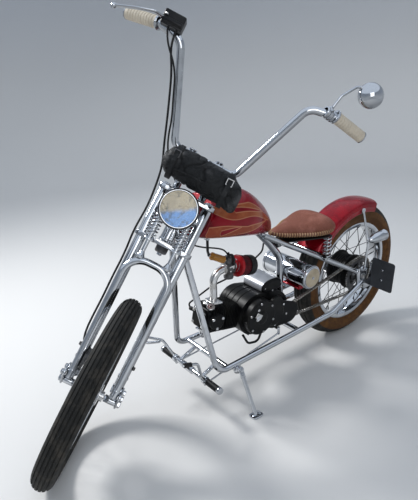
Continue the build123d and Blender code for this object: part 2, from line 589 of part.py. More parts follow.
# Foot bar below the front bend, with its cross tube, arms and pegs
FOOT_BAR = Vector(LOOP_CORNER.X + 34, 0, 178)
FOOT_BAR_HALF = 190.0
CROSS_X = FOOT_BAR.X - 88
cross_front = rod((CROSS_X, -128, RAIL_HEIGHT), (CROSS_X, 128, RAIL_HEIGHT), 22)
foot_bar = rod(FOOT_BAR - LEFT * FOOT_BAR_HALF, FOOT_BAR + LEFT * FOOT_BAR_HALF, 20) + cross_front
foot_bar += rod(FOOT_BAR - LEFT * 50, FOOT_BAR + LEFT * 20, 28)
for side in (-1, 1):
    foot_bar += rod((CROSS_X, side * 72, RAIL_HEIGHT), FOOT_BAR + LEFT * (side * 72), 16)
    foot_bar += rod(FOOT_BAR + LEFT * (side * (FOOT_BAR_HALF - 78)), FOOT_BAR + LEFT * (side * FOOT_BAR_HALF), 27)
foot_bar -= frame_loop_left
foot_bar -= frame_loop_right

# Brake pedal on the right and gear lever on the left, each with its rod
PEDAL_Y = 96.0
PEDAL_DIAMETER = 11.0
ROD_DIAMETER = 7.0
pedal_foot = FOOT_BAR - LEFT * PEDAL_Y
brake_rod_end = Vector(78, -84, REAR_RADIUS - 116)
pedal_loop = [Vector(974, -150, 252), Vector(1046, -172, 288), Vector(1060, -140, 278), Vector(1000, -134, 262)]
pedal = disc(pedal_foot, LEFT, 16, 18)
pedal += bent_tube([pedal_foot, Vector(966, -140, 236), pedal_loop[0]], 20, PEDAL_DIAMETER)
pedal += bent_tube(pedal_loop, [12, 12], PEDAL_DIAMETER)
pedal += bent_tube([pedal_loop[0], pedal_loop[0] + Vector(16, 10, 8), pedal_loop[3]], 8, PEDAL_DIAMETER)
pedal += rod(pedal_foot - Vector(0, 0, 24), pedal_foot, 12)
pedal += rod(pedal_foot - Vector(0, 0, 20), brake_rod_end, ROD_DIAMETER)
pedal -= foot_bar
lever_foot = FOOT_BAR + LEFT * PEDAL_Y
SHIFT_SHAFT = Vector(560, 108, 262)
lever_path = [lever_foot, Vector(1000, 146, 250), Vector(1020, 152, 318), Vector(1082, 152, 338)]
lever = bent_tube(lever_path, [20, 22], PEDAL_DIAMETER)
lever += disc(lever_foot, LEFT, 16, 18)
lever += rod((1050, 152, 328), (1082, 152, 338), 19)
lever += rod(lever_foot - Vector(0, 0, 24), lever_foot, 12)
lever += rod(lever_foot - Vector(0, 0, 20), SHIFT_SHAFT - Vector(0, 0, 22), ROD_DIAMETER)
lever += rod(SHIFT_SHAFT - Vector(0, 0, 26), SHIFT_SHAFT + Vector(0, 0, 8), 12)
lever -= foot_bar
foot_controls = [pedal, lever]

# Engine: case and covers
def side_hull(circles, y_start, y_end):
    """A prism across the machine from the hull of circles given as (x, z, radius)."""
    outline = Sketch()
    for x, z, radius in circles:
        outline += Pos(x, z) * Circle(radius)
    face = Plane(origin=(0, y_end, 0), x_dir=(1, 0, 0), z_dir=(0, -1, 0)) * make_hull(outline.edges())
    return Part() + extrude(face, y_end - y_start)


CASE_CIRCLES = [(CRANK[0], CRANK[1], 90), (GEARBOX[0], GEARBOX[1], 84), (GEARBOX[0] - 4, GEARBOX[1] - 44, 42)]
crankcase = side_hull(CASE_CIRCLES, -CASE_HALF, CASE_HALF)
left_cover = side_hull([(CRANK[0], CRANK[1], 76)], CASE_HALF, CASE_HALF + 40)
left_cover = fillet(left_cover.faces().sort_by(Axis.Y)[-1].edges(), 8)
left_cover += side_hull([(GEARBOX[0] + 14, GEARBOX[1] - 4, 62), (OUTPUT_SPROCKET[0], OUTPUT_SPROCKET[1] + 8, 48)],
                        CHAIN_Y + 12, CASE_HALF + 34)
left_cover += side_hull([(GEARBOX[0] + 24, GEARBOX[1] - 4, 54)], CASE_HALF, CASE_HALF + 20)
right_cover = side_hull([(CRANK[0] - 6, CRANK[1] - 2, 82), (GEARBOX[0] + 6, GEARBOX[1] - 2, 74)],
                        -CASE_HALF - 38, -CASE_HALF)
right_cover = fillet(right_cover.faces().sort_by(Axis.Y)[0].edges(), 12)
crankcase = crankcase + left_cover + right_cover
chain_room = side_hull([(OUTPUT_SPROCKET[0], OUTPUT_SPROCKET[1], OUTPUT_SPROCKET_RADIUS + 12), (300, 316, 62)],
                       CASE_HALF, CHAIN_Y + 12)
crankcase -= chain_room
crankcase += rod((OUTPUT_SPROCKET[0], CASE_HALF - 2, OUTPUT_SPROCKET[1]),
                 (OUTPUT_SPROCKET[0], CHAIN_Y + 8, OUTPUT_SPROCKET[1]), 2 * (OUTPUT_SPROCKET_RADIUS - 6.2))
crankcase += rod(SHIFT_SHAFT - LEFT * 30, SHIFT_SHAFT - LEFT * 6.5, 12)
crankcase -= frame_spine

# Cylinder and head, in directions that follow the bore: s along it, t above it
bore_dir = Vector(math.cos(math.radians(CYLINDER_TILT)), 0, math.sin(math.radians(CYLINDER_TILT)))
bore_up = Vector(-bore_dir.Z, 0, bore_dir.X)
crank_point = Vector(CRANK[0], 0, CRANK[1])


def bore(s, t=0.0, y=0.0):
    """A point given along and above the cylinder's bore."""
    return crank_point + bore_dir * s + bore_up * t + LEFT * y


def bore_block(s_start, s_end, width, height, corner, t=0.0):
    """A block along the bore with rounded corners."""
    section = Plane(origin=bore(s_start, t), x_dir=LEFT, z_dir=bore_dir) * RectangleRounded(width, height, corner)
    return Part() + extrude(section, s_end - s_start)


CYLINDER_START = 84.0
CYLINDER_END = 160.0
HEAD_END = 252.0
cylinder = bore_block(CYLINDER_START, CYLINDER_END, 84, 84, 20)
for i in range(FIN_COUNT):
    fin_at = CYLINDER_START + 12 + i * (CYLINDER_END - CYLINDER_START - 16) / (FIN_COUNT - 1)
    cylinder += bore_block(fin_at - 1.6, fin_at + 1.6, 114, 110, 24)
cylinder -= crankcase
cylinder_head = bore_block(CYLINDER_END, HEAD_END - 10, 96, 88, 16)
for i in range(5):
    fin_at = CYLINDER_END + 8 + i * 14
    cylinder_head += bore_block(fin_at - 1.6, fin_at + 1.6, 118, 104, 22)
cylinder_head += bore_block(HEAD_END - 12, HEAD_END, 78, 74, 18)
cylinder_head += rod(bore(HEAD_END - 46, 0, 0), bore(HEAD_END - 46, 0, 66), 66)
for side in (-1, 1):
    cylinder_head += rod(bore(HEAD_END - 38, 0), bore(HEAD_END - 38, side * 62), 42)
PORT_S = 200.0
cylinder_head += rod(bore(PORT_S, 30, 14), bore(PORT_S - 2, 66, 14), 44)
cylinder_head += rod(bore(PORT_S, -30, -18), bore(PORT_S, -62, -18), 42)

starter_cover = side_hull([(520, 438, 24), (586, 446, 26)], -58, 62)
starter_cover = fillet(starter_cover.faces().sort_by(Axis.Y)[-1].edges(), 7)
starter_cover -= crankcase
starter_cover -= frame_spine

# Intake: elbow, carburettor and its fuel bowl
port_top = bore(PORT_S - 2, 66, 14)
CARB = Vector(756, 16, 574)
elbow = bent_tube([port_top, Vector(port_top.X + 2, 15, 566), Vector(CARB.X + 24, 16, CARB.Z + 1)], [44], 30)
carburettor = elbow + block(port_top + bore_up * 4, (44, 58, 8), x_dir=bore_dir, z_dir=bore_up)
carburettor += block(CARB, (46, 44, 40), x_dir=(1, 0, 0))
carburettor += rod(CARB, CARB + Vector(0, 0, 46), 34)
carburettor += rod(CARB - Vector(0, 0, 46), CARB, 40)
carburettor += rod(CARB, CARB - Vector(38, 0, 4), 40)
carburettor -= cylinder_head
FILTER_END = Vector(636, 16, 548)
filter_start = CARB - Vector(30, 0, 3)
filter_dir = (FILTER_END - filter_start).normalized()
filter_plane = Plane(origin=filter_start, z_dir=filter_dir)
air_filter = Part() + filter_plane * Solid.make_cone(44, 37, 66)
air_filter += Part() + Plane(origin=filter_start + filter_dir * 60, z_dir=filter_dir) * Solid.make_cylinder(41, 32)
air_filter -= carburettor

# Fuel filter with its hoses, between the tank's tap and the carburettor
filter_front = Vector(846, 24, 650)
filter_rear = Vector(786, 22, 616)
FUEL_HOSE = 10.0
TANK_TAIL = 530.0
TANK_FRONT = fork(NECK_BOTTOM, 0).X - 43.6
TANK_LENGTH = TANK_FRONT - TANK_TAIL
TANK_TAP = Vector(TANK_TAIL + 0.7516 * TANK_LENGTH, 36, 724)
fuel_filter = rod(filter_front, filter_rear, 30)
fuel_filter += rod(along(filter_front, filter_rear, -14), along(filter_rear, filter_front, -12), FUEL_HOSE)
fuel_filter += bent_tube([TANK_TAP, TANK_TAP - Vector(0, 0, 44), along(filter_front, filter_rear, -13)], 10,
                         FUEL_HOSE)
fuel_filter += bent_tube([along(filter_rear, filter_front, -11), Vector(768, 26, 606), Vector(762, 36, 590)], 8,
                         FUEL_HOSE)
fuel_filter -= carburettor

# Exhaust: header from the underside of the head, then a straight silencer on the right
exhaust_start = bore(PORT_S, -62, -18)
HEADER = [exhaust_start, exhaust_start - Vector(4, 12, 40), Vector(800, -104, 262), Vector(700, -158, 254),
          Vector(540, -166, 258)]
exhaust = bent_tube(HEADER, [30, 40, 60], 30)
exhaust += rod(Vector(556, -166, 258), Vector(60, -170, 272), 60)
exhaust -= cylinder_head

# Fuel tank: a teardrop over the backbone
# Share of the length from the tail, half width, bottom and top of each section
TANK_SECTIONS = [
    (1.0, 84, 768, 856),
    (0.8132, 108, 742, 880),
    (0.5494, 114, 717, 886),
    (0.3517, 104, 697, 872),
    (0.1758, 72, 678, 812),
    (0.0659, 40, 668, 756),
    (0.0, 16, 668, 712),
]


def tank_section(share, half, low, high):
    """A section of the tank: flat below, full at the sides and domed above."""
    x = TANK_TAIL + share * TANK_LENGTH
    middle = low + (high - low) * 0.36
    shoulder = low + (high - low) * 0.80
    lines = [Line((-half * 0.8, low), (half * 0.8, low)),
             ThreePointArc((half * 0.8, low), (half, middle), (half * 0.78, shoulder)),
             ThreePointArc((half * 0.78, shoulder), (0, high), (-half * 0.78, shoulder)),
             ThreePointArc((-half * 0.78, shoulder), (-half, middle), (-half * 0.8, low))]
    return Plane(origin=(x, 0, 0), x_dir=(0, 1, 0), z_dir=(1, 0, 0)) * make_face(Curve() + lines)


TANK_FRONT_N = -50.0
fuel_tank = Part() + loft([tank_section(*row) for row in reversed(TANK_SECTIONS)])
fuel_tank -= fork_block(750, TANK_FRONT_N + 150, 0, 600, 300, 400)
backbone_front, backbone_rear = SPINE_POINTS[0], SPINE_POINTS[1]
slot_dir = (backbone_rear - backbone_front).normalized()
slot_up = LEFT.cross(slot_dir)
slot_up = slot_up if slot_up.Z > 0 else slot_up * -1
slot_mid = (backbone_front + backbone_rear) / 2
SLOT_HALF = SPINE_DIAMETER / 2 + 2
fuel_tank -= block(slot_mid - slot_up * (100 - SLOT_HALF) - Vector(60, 0, 20), (640, 2 * SLOT_HALF, 200),
                   x_dir=slot_dir, z_dir=slot_up)
fuel_tank -= frame_spine
CAP_X = TANK_TAIL + 0.5934 * TANK_LENGTH
fuel_tank += rod((CAP_X, 0, 868), (CAP_X, 0, 896), 62)
fuel_tank += rod(TANK_TAP, TANK_TAP + Vector(0, 0, 24), 16)

# Saddle with its pan, nose bracket and coil springs
# x, half width, bottom and top of each section, from the nose to the back
SADDLE_SECTIONS = [
    (514, 16, 640, 664),
    (486, 34, 628, 682),
    (420, 62, 614, 692),
    (330, 108, 606, 694),
    (256, 122, 604, 684),
    (222, 104, 610, 668),
]


def saddle_section(x, half, low, high):
    """A section of the saddle: flat below and crowned above."""
    lines = [Line((-half * 0.9, low), (half * 0.9, low)),
             ThreePointArc((half * 0.9, low), (half, low + (high - low) * 0.35), (half * 0.86, low + (high - low) * 0.62)),
             ThreePointArc((half * 0.86, low + (high - low) * 0.62), (0, high), (-half * 0.86, low + (high - low) * 0.62)),
             ThreePointArc((-half * 0.86, low + (high - low) * 0.62), (-half, low + (high - low) * 0.35), (-half * 0.9, low))]
    return Plane(origin=(x, 0, 0), x_dir=(0, 1, 0), z_dir=(1, 0, 0)) * make_face(Curve() + lines)


saddle = Part() + loft([saddle_section(*row) for row in reversed(SADDLE_SECTIONS)])
PAN_TOP = 603.0
pan_outline = make_hull((Pos(470, 0) * Circle(24) + Pos(282, 72) * Circle(36) + Pos(282, -72) * Circle(36)).edges())
saddle_mount = Part() + extrude(Plane(origin=(0, 0, PAN_TOP - 5)) * pan_outline, 5)
saddle_mount += block((478, 0, 594), (30, 24, 32)) + block((496, 0, 600), (40, 14, 28))
saddle_mount -= frame_spine
saddle_mount -= saddle
for side in (-1, 1):
    base = Vector(spring_base.X, side * spring_base.Y, spring_base.Z)
    saddle_mount += placed_spring(base, Vector(0, 0, 1), PAN_TOP - 5 - base.Z, 14, 5, 8, 5)
saddle_mount -= frame_stays

# Battery can across the machine, strapped to the seat tube
CAN_RADIUS = 50.0
CAN_HALF = 125.0
CAN_HEIGHT = 450.0
tube_low, tube_high = SPINE_POINTS[-1], SPINE_POINTS[-2]
tube_share = (CAN_HEIGHT - tube_low.Z) / (tube_high.Z - tube_low.Z)
CAN_X = tube_low.X + tube_share * (tube_high.X - tube_low.X) - SPINE_DIAMETER / 2 - CAN_RADIUS + SEAT_GAP
battery_can = rod((CAN_X, -CAN_HALF, CAN_HEIGHT), (CAN_X, CAN_HALF, CAN_HEIGHT), 2 * CAN_RADIUS)
battery_can += rod((CAN_X, -CAN_HALF - 4, CAN_HEIGHT), (CAN_X, CAN_HALF + 4, CAN_HEIGHT), 2 * CAN_RADIUS - 14)
battery_can += rod((CAN_X, CAN_HALF - 14, CAN_HEIGHT), (CAN_X, CAN_HALF - 4, CAN_HEIGHT), 2 * CAN_RADIUS + 5)
battery_can += rod((CAN_X, -CAN_HALF + 14, CAN_HEIGHT), (CAN_X, -CAN_HALF + 4, CAN_HEIGHT), 2 * CAN_RADIUS + 5)
battery_can -= frame_spine

# Rear fender: a narrow arch close to the tyre
FENDER_HALF = 67.0
FENDER_WALL = 3.0
FENDER_START = 33.0
FENDER_END = 108.0
fender_skirt = REAR_RADIUS - 30
fender_shoulder = REAR_RADIUS + 2


def fender_outline(inset):
    """The fender's section, moved in by its wall."""
    half = FENDER_HALF - inset
    return [Line((fender_skirt, -half), (fender_shoulder - inset, -half)),
            ThreePointArc((fender_shoulder - inset, -half), (FENDER_RADIUS - inset, 0), (fender_shoulder - inset, half)),
            Line((fender_shoulder - inset, half), (fender_skirt, half)),
            Line((fender_skirt, half), (fender_skirt, -half))]


fender_plane = plane_at_axle(REAR_AXLE, FENDER_START)
fender_face = make_face(Curve() + fender_outline(0)) - make_face(Curve() + fender_outline(FENDER_WALL))
rear_fender = Part() + revolve(fender_plane * fender_face, Axis(REAR_AXLE, LEFT * -1), FENDER_END - FENDER_START)
rear_fender -= frame_stays

# Fender struts from the axle plates, as flat-ended bars
STRUT_TOP = Vector(4, FENDER_HALF + 4.3, REAR_RADIUS + 314)
STRUT_FOOT = Vector(4, AXLE_PLATE_Y + AXLE_PLATE_THICKNESS / 2 + 6, REAR_RADIUS + 40)
strut = bent_tube([STRUT_FOOT, Vector(-2, AXLE_PLATE_Y + 8, 500), STRUT_TOP], [60], 11)
strut += disc(STRUT_TOP, LEFT, 12, 8)
strut += disc(STRUT_FOOT, LEFT, 14, 12)
fender_struts = both(strut - rear_fender - frame_stays)

# Rear axle with its spacers, nuts and the brake's fixed plate
rear_axle = rod(REAR_AXLE - LEFT * (AXLE_PLATE_Y + 16), REAR_AXLE + LEFT * (AXLE_PLATE_Y + 16), 2 * AXLE_RADIUS)
plate_inner = AXLE_PLATE_Y - AXLE_PLATE_THICKNESS / 2
rear_axle += rod(REAR_AXLE + LEFT * (CHAIN_Y + SPROCKET_HALF + 1), REAR_AXLE + LEFT * plate_inner, 28)
rear_axle += rod(REAR_AXLE - LEFT * plate_inner, REAR_AXLE - LEFT * (DRUM_HALF + 1), 30)
rear_axle += disc(REAR_AXLE - LEFT * (DRUM_HALF + 1 + 4), LEFT, DRUM_RADIUS - 2, 8)
for side in (-1, 1):
    outer = AXLE_PLATE_Y + AXLE_PLATE_THICKNESS / 2
    rear_axle += rod(REAR_AXLE + LEFT * (side * outer), REAR_AXLE + LEFT * (side * (outer + 10)), 27)
brake_arm_pivot = REAR_AXLE + Vector(50, -(DRUM_HALF + 1), -26)
brake_arm_root = Vector(brake_arm_pivot.X, brake_rod_end.Y, brake_arm_pivot.Z)
rear_axle += rod(brake_arm_pivot, brake_arm_root - LEFT * 4, 12)
rear_axle += rod(brake_arm_root, brake_rod_end, 10)
rear_axle -= frame_stays
rear_axle -= pedal

# Tail lamp on the left strut
LAMP_LINE = Vector(-56, 120, 514)
TAIL_LAMP_HALF = 60.0
TAIL_LAMP_RADIUS = 25.0
LAMP_TIP = 5.0
rear_end = -TAIL_LAMP_HALF
lamp_lines = [Line((0, TAIL_LAMP_HALF), (LAMP_TIP, TAIL_LAMP_HALF)),
              ThreePointArc((LAMP_TIP, TAIL_LAMP_HALF), (TAIL_LAMP_RADIUS * 0.76, TAIL_LAMP_HALF * 0.5),
                            (TAIL_LAMP_RADIUS, -TAIL_LAMP_HALF * 0.4)),
              Line((TAIL_LAMP_RADIUS, -TAIL_LAMP_HALF * 0.4), (TAIL_LAMP_RADIUS, rear_end + 6)),
              ThreePointArc((TAIL_LAMP_RADIUS, rear_end + 6), dome_middle(TAIL_LAMP_RADIUS, -6, rear_end),
                            (0, rear_end)),
              Line((0, rear_end), (0, TAIL_LAMP_HALF))]
lamp_face = Plane(origin=LAMP_LINE, x_dir=(0, 1, 0), z_dir=(0, 0, -1)) * make_face(Curve() + lamp_lines)
tail_lamp = Part() + revolve(lamp_face, Axis(LAMP_LINE, (1, 0, 0)), 360)
tail_lamp += rod((-2, AXLE_PLATE_Y + 4, 506), (-20, LAMP_LINE.Y, 512), 12)
tail_lamp -= fender_struts[0]

# Number plate bracket on the left, with a blank plate
PLATE_X = -58.0
PLATE_SIZE = (122.0, 148.0)
PLATE_CORNER = 12.0
plate_centre = Vector(PLATE_X, 172, 338)
plate_plane = Plane(origin=plate_centre, x_dir=(0, 1, 0), z_dir=(1, 0, 0))
plate_bracket = Part() + extrude(plate_plane * RectangleRounded(*PLATE_SIZE, PLATE_CORNER), 3)
bracket_top = AXLE_PLATE_Y + AXLE_PLATE_THICKNESS / 2
plate_bracket += block((PLATE_X + 27, bracket_top + 5, REAR_RADIUS - 44), (60, 6, 44))
plate_bracket += block((PLATE_X + 30, bracket_top + 3, REAR_RADIUS - 40), (54, 6, 30))
for dz in (-25, 25):
    hole_at = plate_centre + Vector(0, 0, dz)
    plate_bracket -= rod(hole_at - Vector(10, 0, 0), hole_at + Vector(10, 0, 0), 7)
plate_bracket -= frame_stays
plate_bracket -= rear_axle

# Cables and hoses: each runs on straight stretches joined by arcs


def route_radii(points):
    """Arc radii for a cord: as large as the shorter run beside each point allows."""
    radii = []
    for before, here, after in zip(points, points[1:], points[2:]):
        run_in, run_out = here - before, after - here
        turn = math.radians(run_in.get_angle(run_out))
        radii.append(0.45 * min(run_in.length, run_out.length) / math.tan(turn / 2))
    return radii


def cord(name, points, diameter):
    """A hose or cable along hand-placed points; its length and radii are printed."""
    points = [Vector(*point) for point in points]
    radii = route_radii(points)
    path = FilletPolyline(*points, radius=radii)
    section = Plane(origin=path @ 0, z_dir=path % 0) * Circle(diameter / 2)
    tube = Part() + sweep(section, path=path)
    expected = path.length * math.pi * diameter ** 2 / 4
    print(f"{name}: length {path.length:.0f}, volume ratio {tube.volume / expected:.4f}, radii",
          [round(r) for r in radii])
    return tube


# Points of each cord's route; the first two follow the bars and the fork
BRAKE_HOSE = [fork(*row) for row in (
    (1131, 224, -240), (1090, 220, -240), (1034, 180, -208), (964, 152, -182), (900, 122, -160), (838, 100, -140),
    (778, 86, -116), (716, 78, -107), (636, 73, -101), (550, 77, -107), (466, 73, -100), (380, 70, -102), (300, 74, -100),
    (226, 72, -102), (166, 78, -99), (130, 79, -84), (116, 80, -58))]
THROTTLE_UPPER = [fork(*row) for row in (
    (1131, 222, -268), (1094, 230, -256), (1040, 192, -198), (972, 162, -172), (912, 136, -148), (872, 108, -140),
    (836, 70, -128), (800, 40, -104), (765, 18, -70), (731, 14, -30))]
THROTTLE_LOWER = [Vector(972, -30, 786), Vector(962, -32, 744), Vector(916, -28, 704), Vector(862, -14, 676),
                  Vector(806, 4, 664), Vector(768, 14, 648), Vector(757, 16, 622)]
HOSE_DIAMETER = 7.0
CABLE_DIAMETER = 6.0
brake_hose = cord("brake hose", BRAKE_HOSE, HOSE_DIAMETER)
throttle_upper = cord("throttle cable on the bars", THROTTLE_UPPER, CABLE_DIAMETER)
throttle_lower = cord("throttle cable on the frame", THROTTLE_LOWER, CABLE_DIAMETER)
control_cables = [brake_hose - brake_caliper - brake_control, throttle_upper - brake_control - fork_trees]
engine_lines = [fuel_filter, throttle_lower - carburettor - frame_loop_right]

# The steering, the lean and the height that stand both tyres on the floor


def about(shape_or_point, axis, angle):
    """Turned about an axis, for shapes and for points."""
    if isinstance(shape_or_point, Vector):
        return (shape_or_point - axis.position).rotate(axis, angle) + axis.position
    return shape_or_point.rotate(axis, angle)


def steered(shape_or_point):
    """Turned about the steering axis to the left stop."""
    return about(shape_or_point, STEERING_AXIS, STEER_LOCK)


def lowest_of_tyre(centre, axle_direction, radius, half):
    """The lowest height of a tyre with a round crown."""
    return centre.Z - (radius - half) * math.sqrt(1 - axle_direction.Z ** 2) - half


def tilted(shape_or_point, pitch):
    """Pitched about the rear axle's foot and leaned to the left."""
    return shape_or_point.rotate(Axis.Y, pitch).rotate(Axis.X, -LEAN)


def tyre_heights(pitch):
    """The lowest heights of the rear and front tyres at a pitch."""
    rear_dir = tilted(LEFT, pitch)
    front_dir = tilted(LEFT.rotate(Axis((0, 0, 0), UP), STEER_LOCK), pitch)
    rear = lowest_of_tyre(tilted(REAR_AXLE, pitch), rear_dir, REAR_RADIUS, REAR_TYRE_HALF)
    front = lowest_of_tyre(tilted(steered(FRONT_AXLE), pitch), front_dir, FRONT_RADIUS, FRONT_TYRE_HALF)
    return rear, front


low_pitch, high_pitch = -5.0, 5.0
for _ in range(60):
    PITCH = (low_pitch + high_pitch) / 2
    rear_low, front_low = tyre_heights(PITCH)
    if front_low > rear_low:
        low_pitch = PITCH
    else:
        high_pitch = PITCH
LIFT = Vector(0, 0, -rear_low)


def parked(shape):
    """A piece of the upright machine, leaned and set on the floor."""
    moved = tilted(shape, PITCH)
    return moved + LIFT if isinstance(moved, Vector) else moved.translate(LIFT)


# Side stand, drawn on the parked machine so that its foot lies flat. A thin head turns on a pin
# of the frame's boss, and the leg starts outside the boss, so that it folds back clear of the rail.
STAND_HEAD = 10.0
STAND_LEG_DIAMETER = 17.0
STAND_PIN_RADIUS = 6.0
STAND_BOSS_RADIUS = 14.0
STAND_FOOT = Vector(stand_pivot.X + 2, 258, 0)
pivot_parked = parked(stand_pivot)
leg_dir = (STAND_FOOT + Vector(0, 0, 10) - pivot_parked).normalized()
backward = parked(Vector(-1, 0, 0)) - parked(Vector(0, 0, 0))
stand_axis = leg_dir.cross(backward).normalized()
leg_start = pivot_parked + leg_dir * (STAND_BOSS_RADIUS + 8)
side_stand = rod(leg_start, STAND_FOOT + Vector(0, -4, 4), STAND_LEG_DIAMETER)
side_stand += disc(pivot_parked, stand_axis, STAND_BOSS_RADIUS - 1, STAND_HEAD)
side_stand += block(pivot_parked + leg_dir * 15, (34, 20, STAND_HEAD), x_dir=leg_dir, z_dir=stand_axis)
side_stand += Part() + extrude(Plane(origin=STAND_FOOT) * RectangleRounded(52, 40, 10), 7)
below_floor = block((STAND_FOOT.X, STAND_FOOT.Y, -25), (300, 300, 50))
side_stand -= below_floor
side_stand -= disc(pivot_parked, stand_axis, STAND_PIN_RADIUS + SHAFT_CLEARANCE, STAND_HEAD + 6)
head_face = STAND_HEAD / 2 + SHAFT_CLEARANCE
stand_boss = rod(pivot_parked - stand_axis * 30, pivot_parked - stand_axis * head_face, 2 * STAND_BOSS_RADIUS)
stand_boss += rod(pivot_parked - stand_axis * 20, pivot_parked + stand_axis * (head_face + 4), 2 * STAND_PIN_RADIUS)
stand_boss += rod(pivot_parked + stand_axis * head_face, pivot_parked + stand_axis * (head_face + 4), 19)
loop_left_parked = parked(frame_loop_left) + stand_boss

# Which pieces belong to the steered front end, and everything else
STEERED = {
    "fork_legs": fork_legs,
    "fork_trees": fork_trees,
    "front_legs": front_legs,
    "fork_springs": fork_springs,
    "rockers": rockers,
    "brake_caliper": brake_caliper,
    "headlight": headlight,
    "headlight_glass": headlight_glass,
    "handlebar": handlebar,
    "grips": grips,
    "brake_control": brake_control,
    "rear_mirror": rear_mirror,
    "tool_roll": tool_roll,
    "control_cables": control_cables,
    "front_tyre": front_tyre,
    "front_rim": front_rim,
    "front_brake_disc": front_brake_disc,
}
FIXED = {
    "frame_spine": frame_spine,
    "frame_loop_left": frame_loop_left,
    "frame_loop_right": frame_loop_right,
    "frame_stays": frame_stays,
    "foot_bar": foot_bar,
    "foot_controls": foot_controls,
    "crankcase": crankcase,
    "cylinder": cylinder,
    "cylinder_head": cylinder_head,
    "starter_cover": starter_cover,
    "carburettor": carburettor,
    "air_filter": air_filter,
    "engine_lines": engine_lines,
    "exhaust": exhaust,
    "fuel_tank": fuel_tank,
    "saddle": saddle,
    "saddle_mount": saddle_mount,
    "battery_can": battery_can,
    "rear_fender": rear_fender,
    "fender_struts": fender_struts,
    "rear_axle": rear_axle,
    "tail_lamp": tail_lamp,
    "plate_bracket": plate_bracket,
    "drive_chain": drive_chain,
    "rear_tyre": rear_tyre,
    "rear_rim": rear_rim,
    "rear_sprocket": rear_sprocket,
}


def solids_of(piece):
    """The solids of a piece or of a list of pieces."""
    pieces = piece if isinstance(piece, list) else [piece]
    return [solid for item in pieces for solid in item.solids()]


nodes = {}
for name, piece in STEERED.items():
    nodes[name] = [parked(steered(solid)) for solid in solids_of(piece)]
for name, piece in FIXED.items():
    nodes[name] = [parked(solid) for solid in solids_of(piece)]
nodes["frame_loop_left"] = solids_of(loop_left_parked)
nodes["side_stand"] = solids_of(side_stand)

# The origin goes to the middle of the machine's footprint
whole = Compound([solid for solids in nodes.values() for solid in solids]).bounding_box()
SHIFT = Vector(-(whole.min.X + whole.max.X) / 2, -(whole.min.Y + whole.max.Y) / 2, -whole.min.Z)
os.makedirs("parts", exist_ok=True)
for name, solids in nodes.items():
    moved = [solid.translate(SHIFT) for solid in solids]
    export_step(Compound(moved) if len(moved) > 1 else moved[0], f"parts/{name}.step")

print("pitch", round(PITCH, 3), "lift", round(LIFT.Z, 2), "size", whole.size, "shift", SHIFT)
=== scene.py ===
"""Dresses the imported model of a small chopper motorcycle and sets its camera, floor and lamps.

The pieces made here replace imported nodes, or stand on them where more detail shows: rounder
tubes, spokes, tread, padding, lacing and fasteners.
Lengths are millimetres in the classes and metres in the scene.
"""
import json
import logging
import math
import random
from dataclasses import dataclass
from enum import Enum
from typing import Callable, Iterable, Optional, Sequence, Union

import bmesh
import bpy
from mathutils import Matrix, Vector, noise


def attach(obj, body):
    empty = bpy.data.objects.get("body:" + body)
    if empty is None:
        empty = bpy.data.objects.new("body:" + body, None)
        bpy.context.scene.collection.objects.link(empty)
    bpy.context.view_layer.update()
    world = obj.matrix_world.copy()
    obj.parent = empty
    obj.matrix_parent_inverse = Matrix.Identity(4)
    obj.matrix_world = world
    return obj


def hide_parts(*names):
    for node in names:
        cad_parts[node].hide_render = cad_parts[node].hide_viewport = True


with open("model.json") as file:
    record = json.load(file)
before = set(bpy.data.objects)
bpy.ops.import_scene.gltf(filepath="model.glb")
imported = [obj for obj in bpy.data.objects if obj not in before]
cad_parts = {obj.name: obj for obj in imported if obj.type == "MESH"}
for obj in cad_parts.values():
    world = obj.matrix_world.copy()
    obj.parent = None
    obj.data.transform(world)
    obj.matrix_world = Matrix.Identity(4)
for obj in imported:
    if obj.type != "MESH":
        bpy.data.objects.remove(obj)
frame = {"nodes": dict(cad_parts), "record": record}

LOG = logging.getLogger("chopper")
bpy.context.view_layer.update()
MM = 0.001
TO_METRES = Matrix.Diagonal((MM, MM, MM, 1.0))
Point = Union[Vector, Sequence[float]]
Number = Union[float, int]


# Shader maths


def arithmetic(operation: str, swapped: bool = False) -> Callable[..., "Wire"]:
    """A method of Wire that adds one step of arithmetic.

    Args:
        operation: the step.
        swapped: whether the wire is the second value and not the first.

    Returns:
        The method.
    """
    def method(self: "Wire", *others: Union["Wire", Number]) -> "Wire":
        return self.shader.maths(operation, *((*others, self) if swapped else (self, *others)))

    return method


class Wire:
    """A socket whose maths is written with Python's operators."""

    def __init__(self, shader: "Shader", socket: bpy.types.NodeSocket) -> None:
        """Wraps a socket.

        Args:
            shader: the shader that new nodes are added to.
            socket: the output socket that carries the value.
        """
        self.shader = shader
        self.socket = socket

    __add__ = __radd__ = arithmetic("ADD")
    __sub__ = arithmetic("SUBTRACT")
    __rsub__ = arithmetic("SUBTRACT", swapped=True)
    __mul__ = __rmul__ = arithmetic("MULTIPLY")
    __pow__ = arithmetic("POWER")
    __abs__ = arithmetic("ABSOLUTE")
    sine = arithmetic("SINE")
    most = arithmetic("MAXIMUM")
    least = arithmetic("MINIMUM")

    def step(self, low: float, high: float) -> "Wire":
        """A smooth step.

        Args:
            low: the value at which the step starts, where the result is 0.
            high: the value at which it ends, where the result is 1.

        Returns:
            The step, from 0 to 1.
        """
        settings = {"interpolation_type": "SMOOTHSTEP", "clamp": True}
        node = self.shader.node("ShaderNodeMapRange", settings,
                                {"Value": self, "From Min": low, "From Max": high})
        return Wire(self.shader, node.outputs["Result"])


Feed = Union[Wire, Number, Sequence[float]]


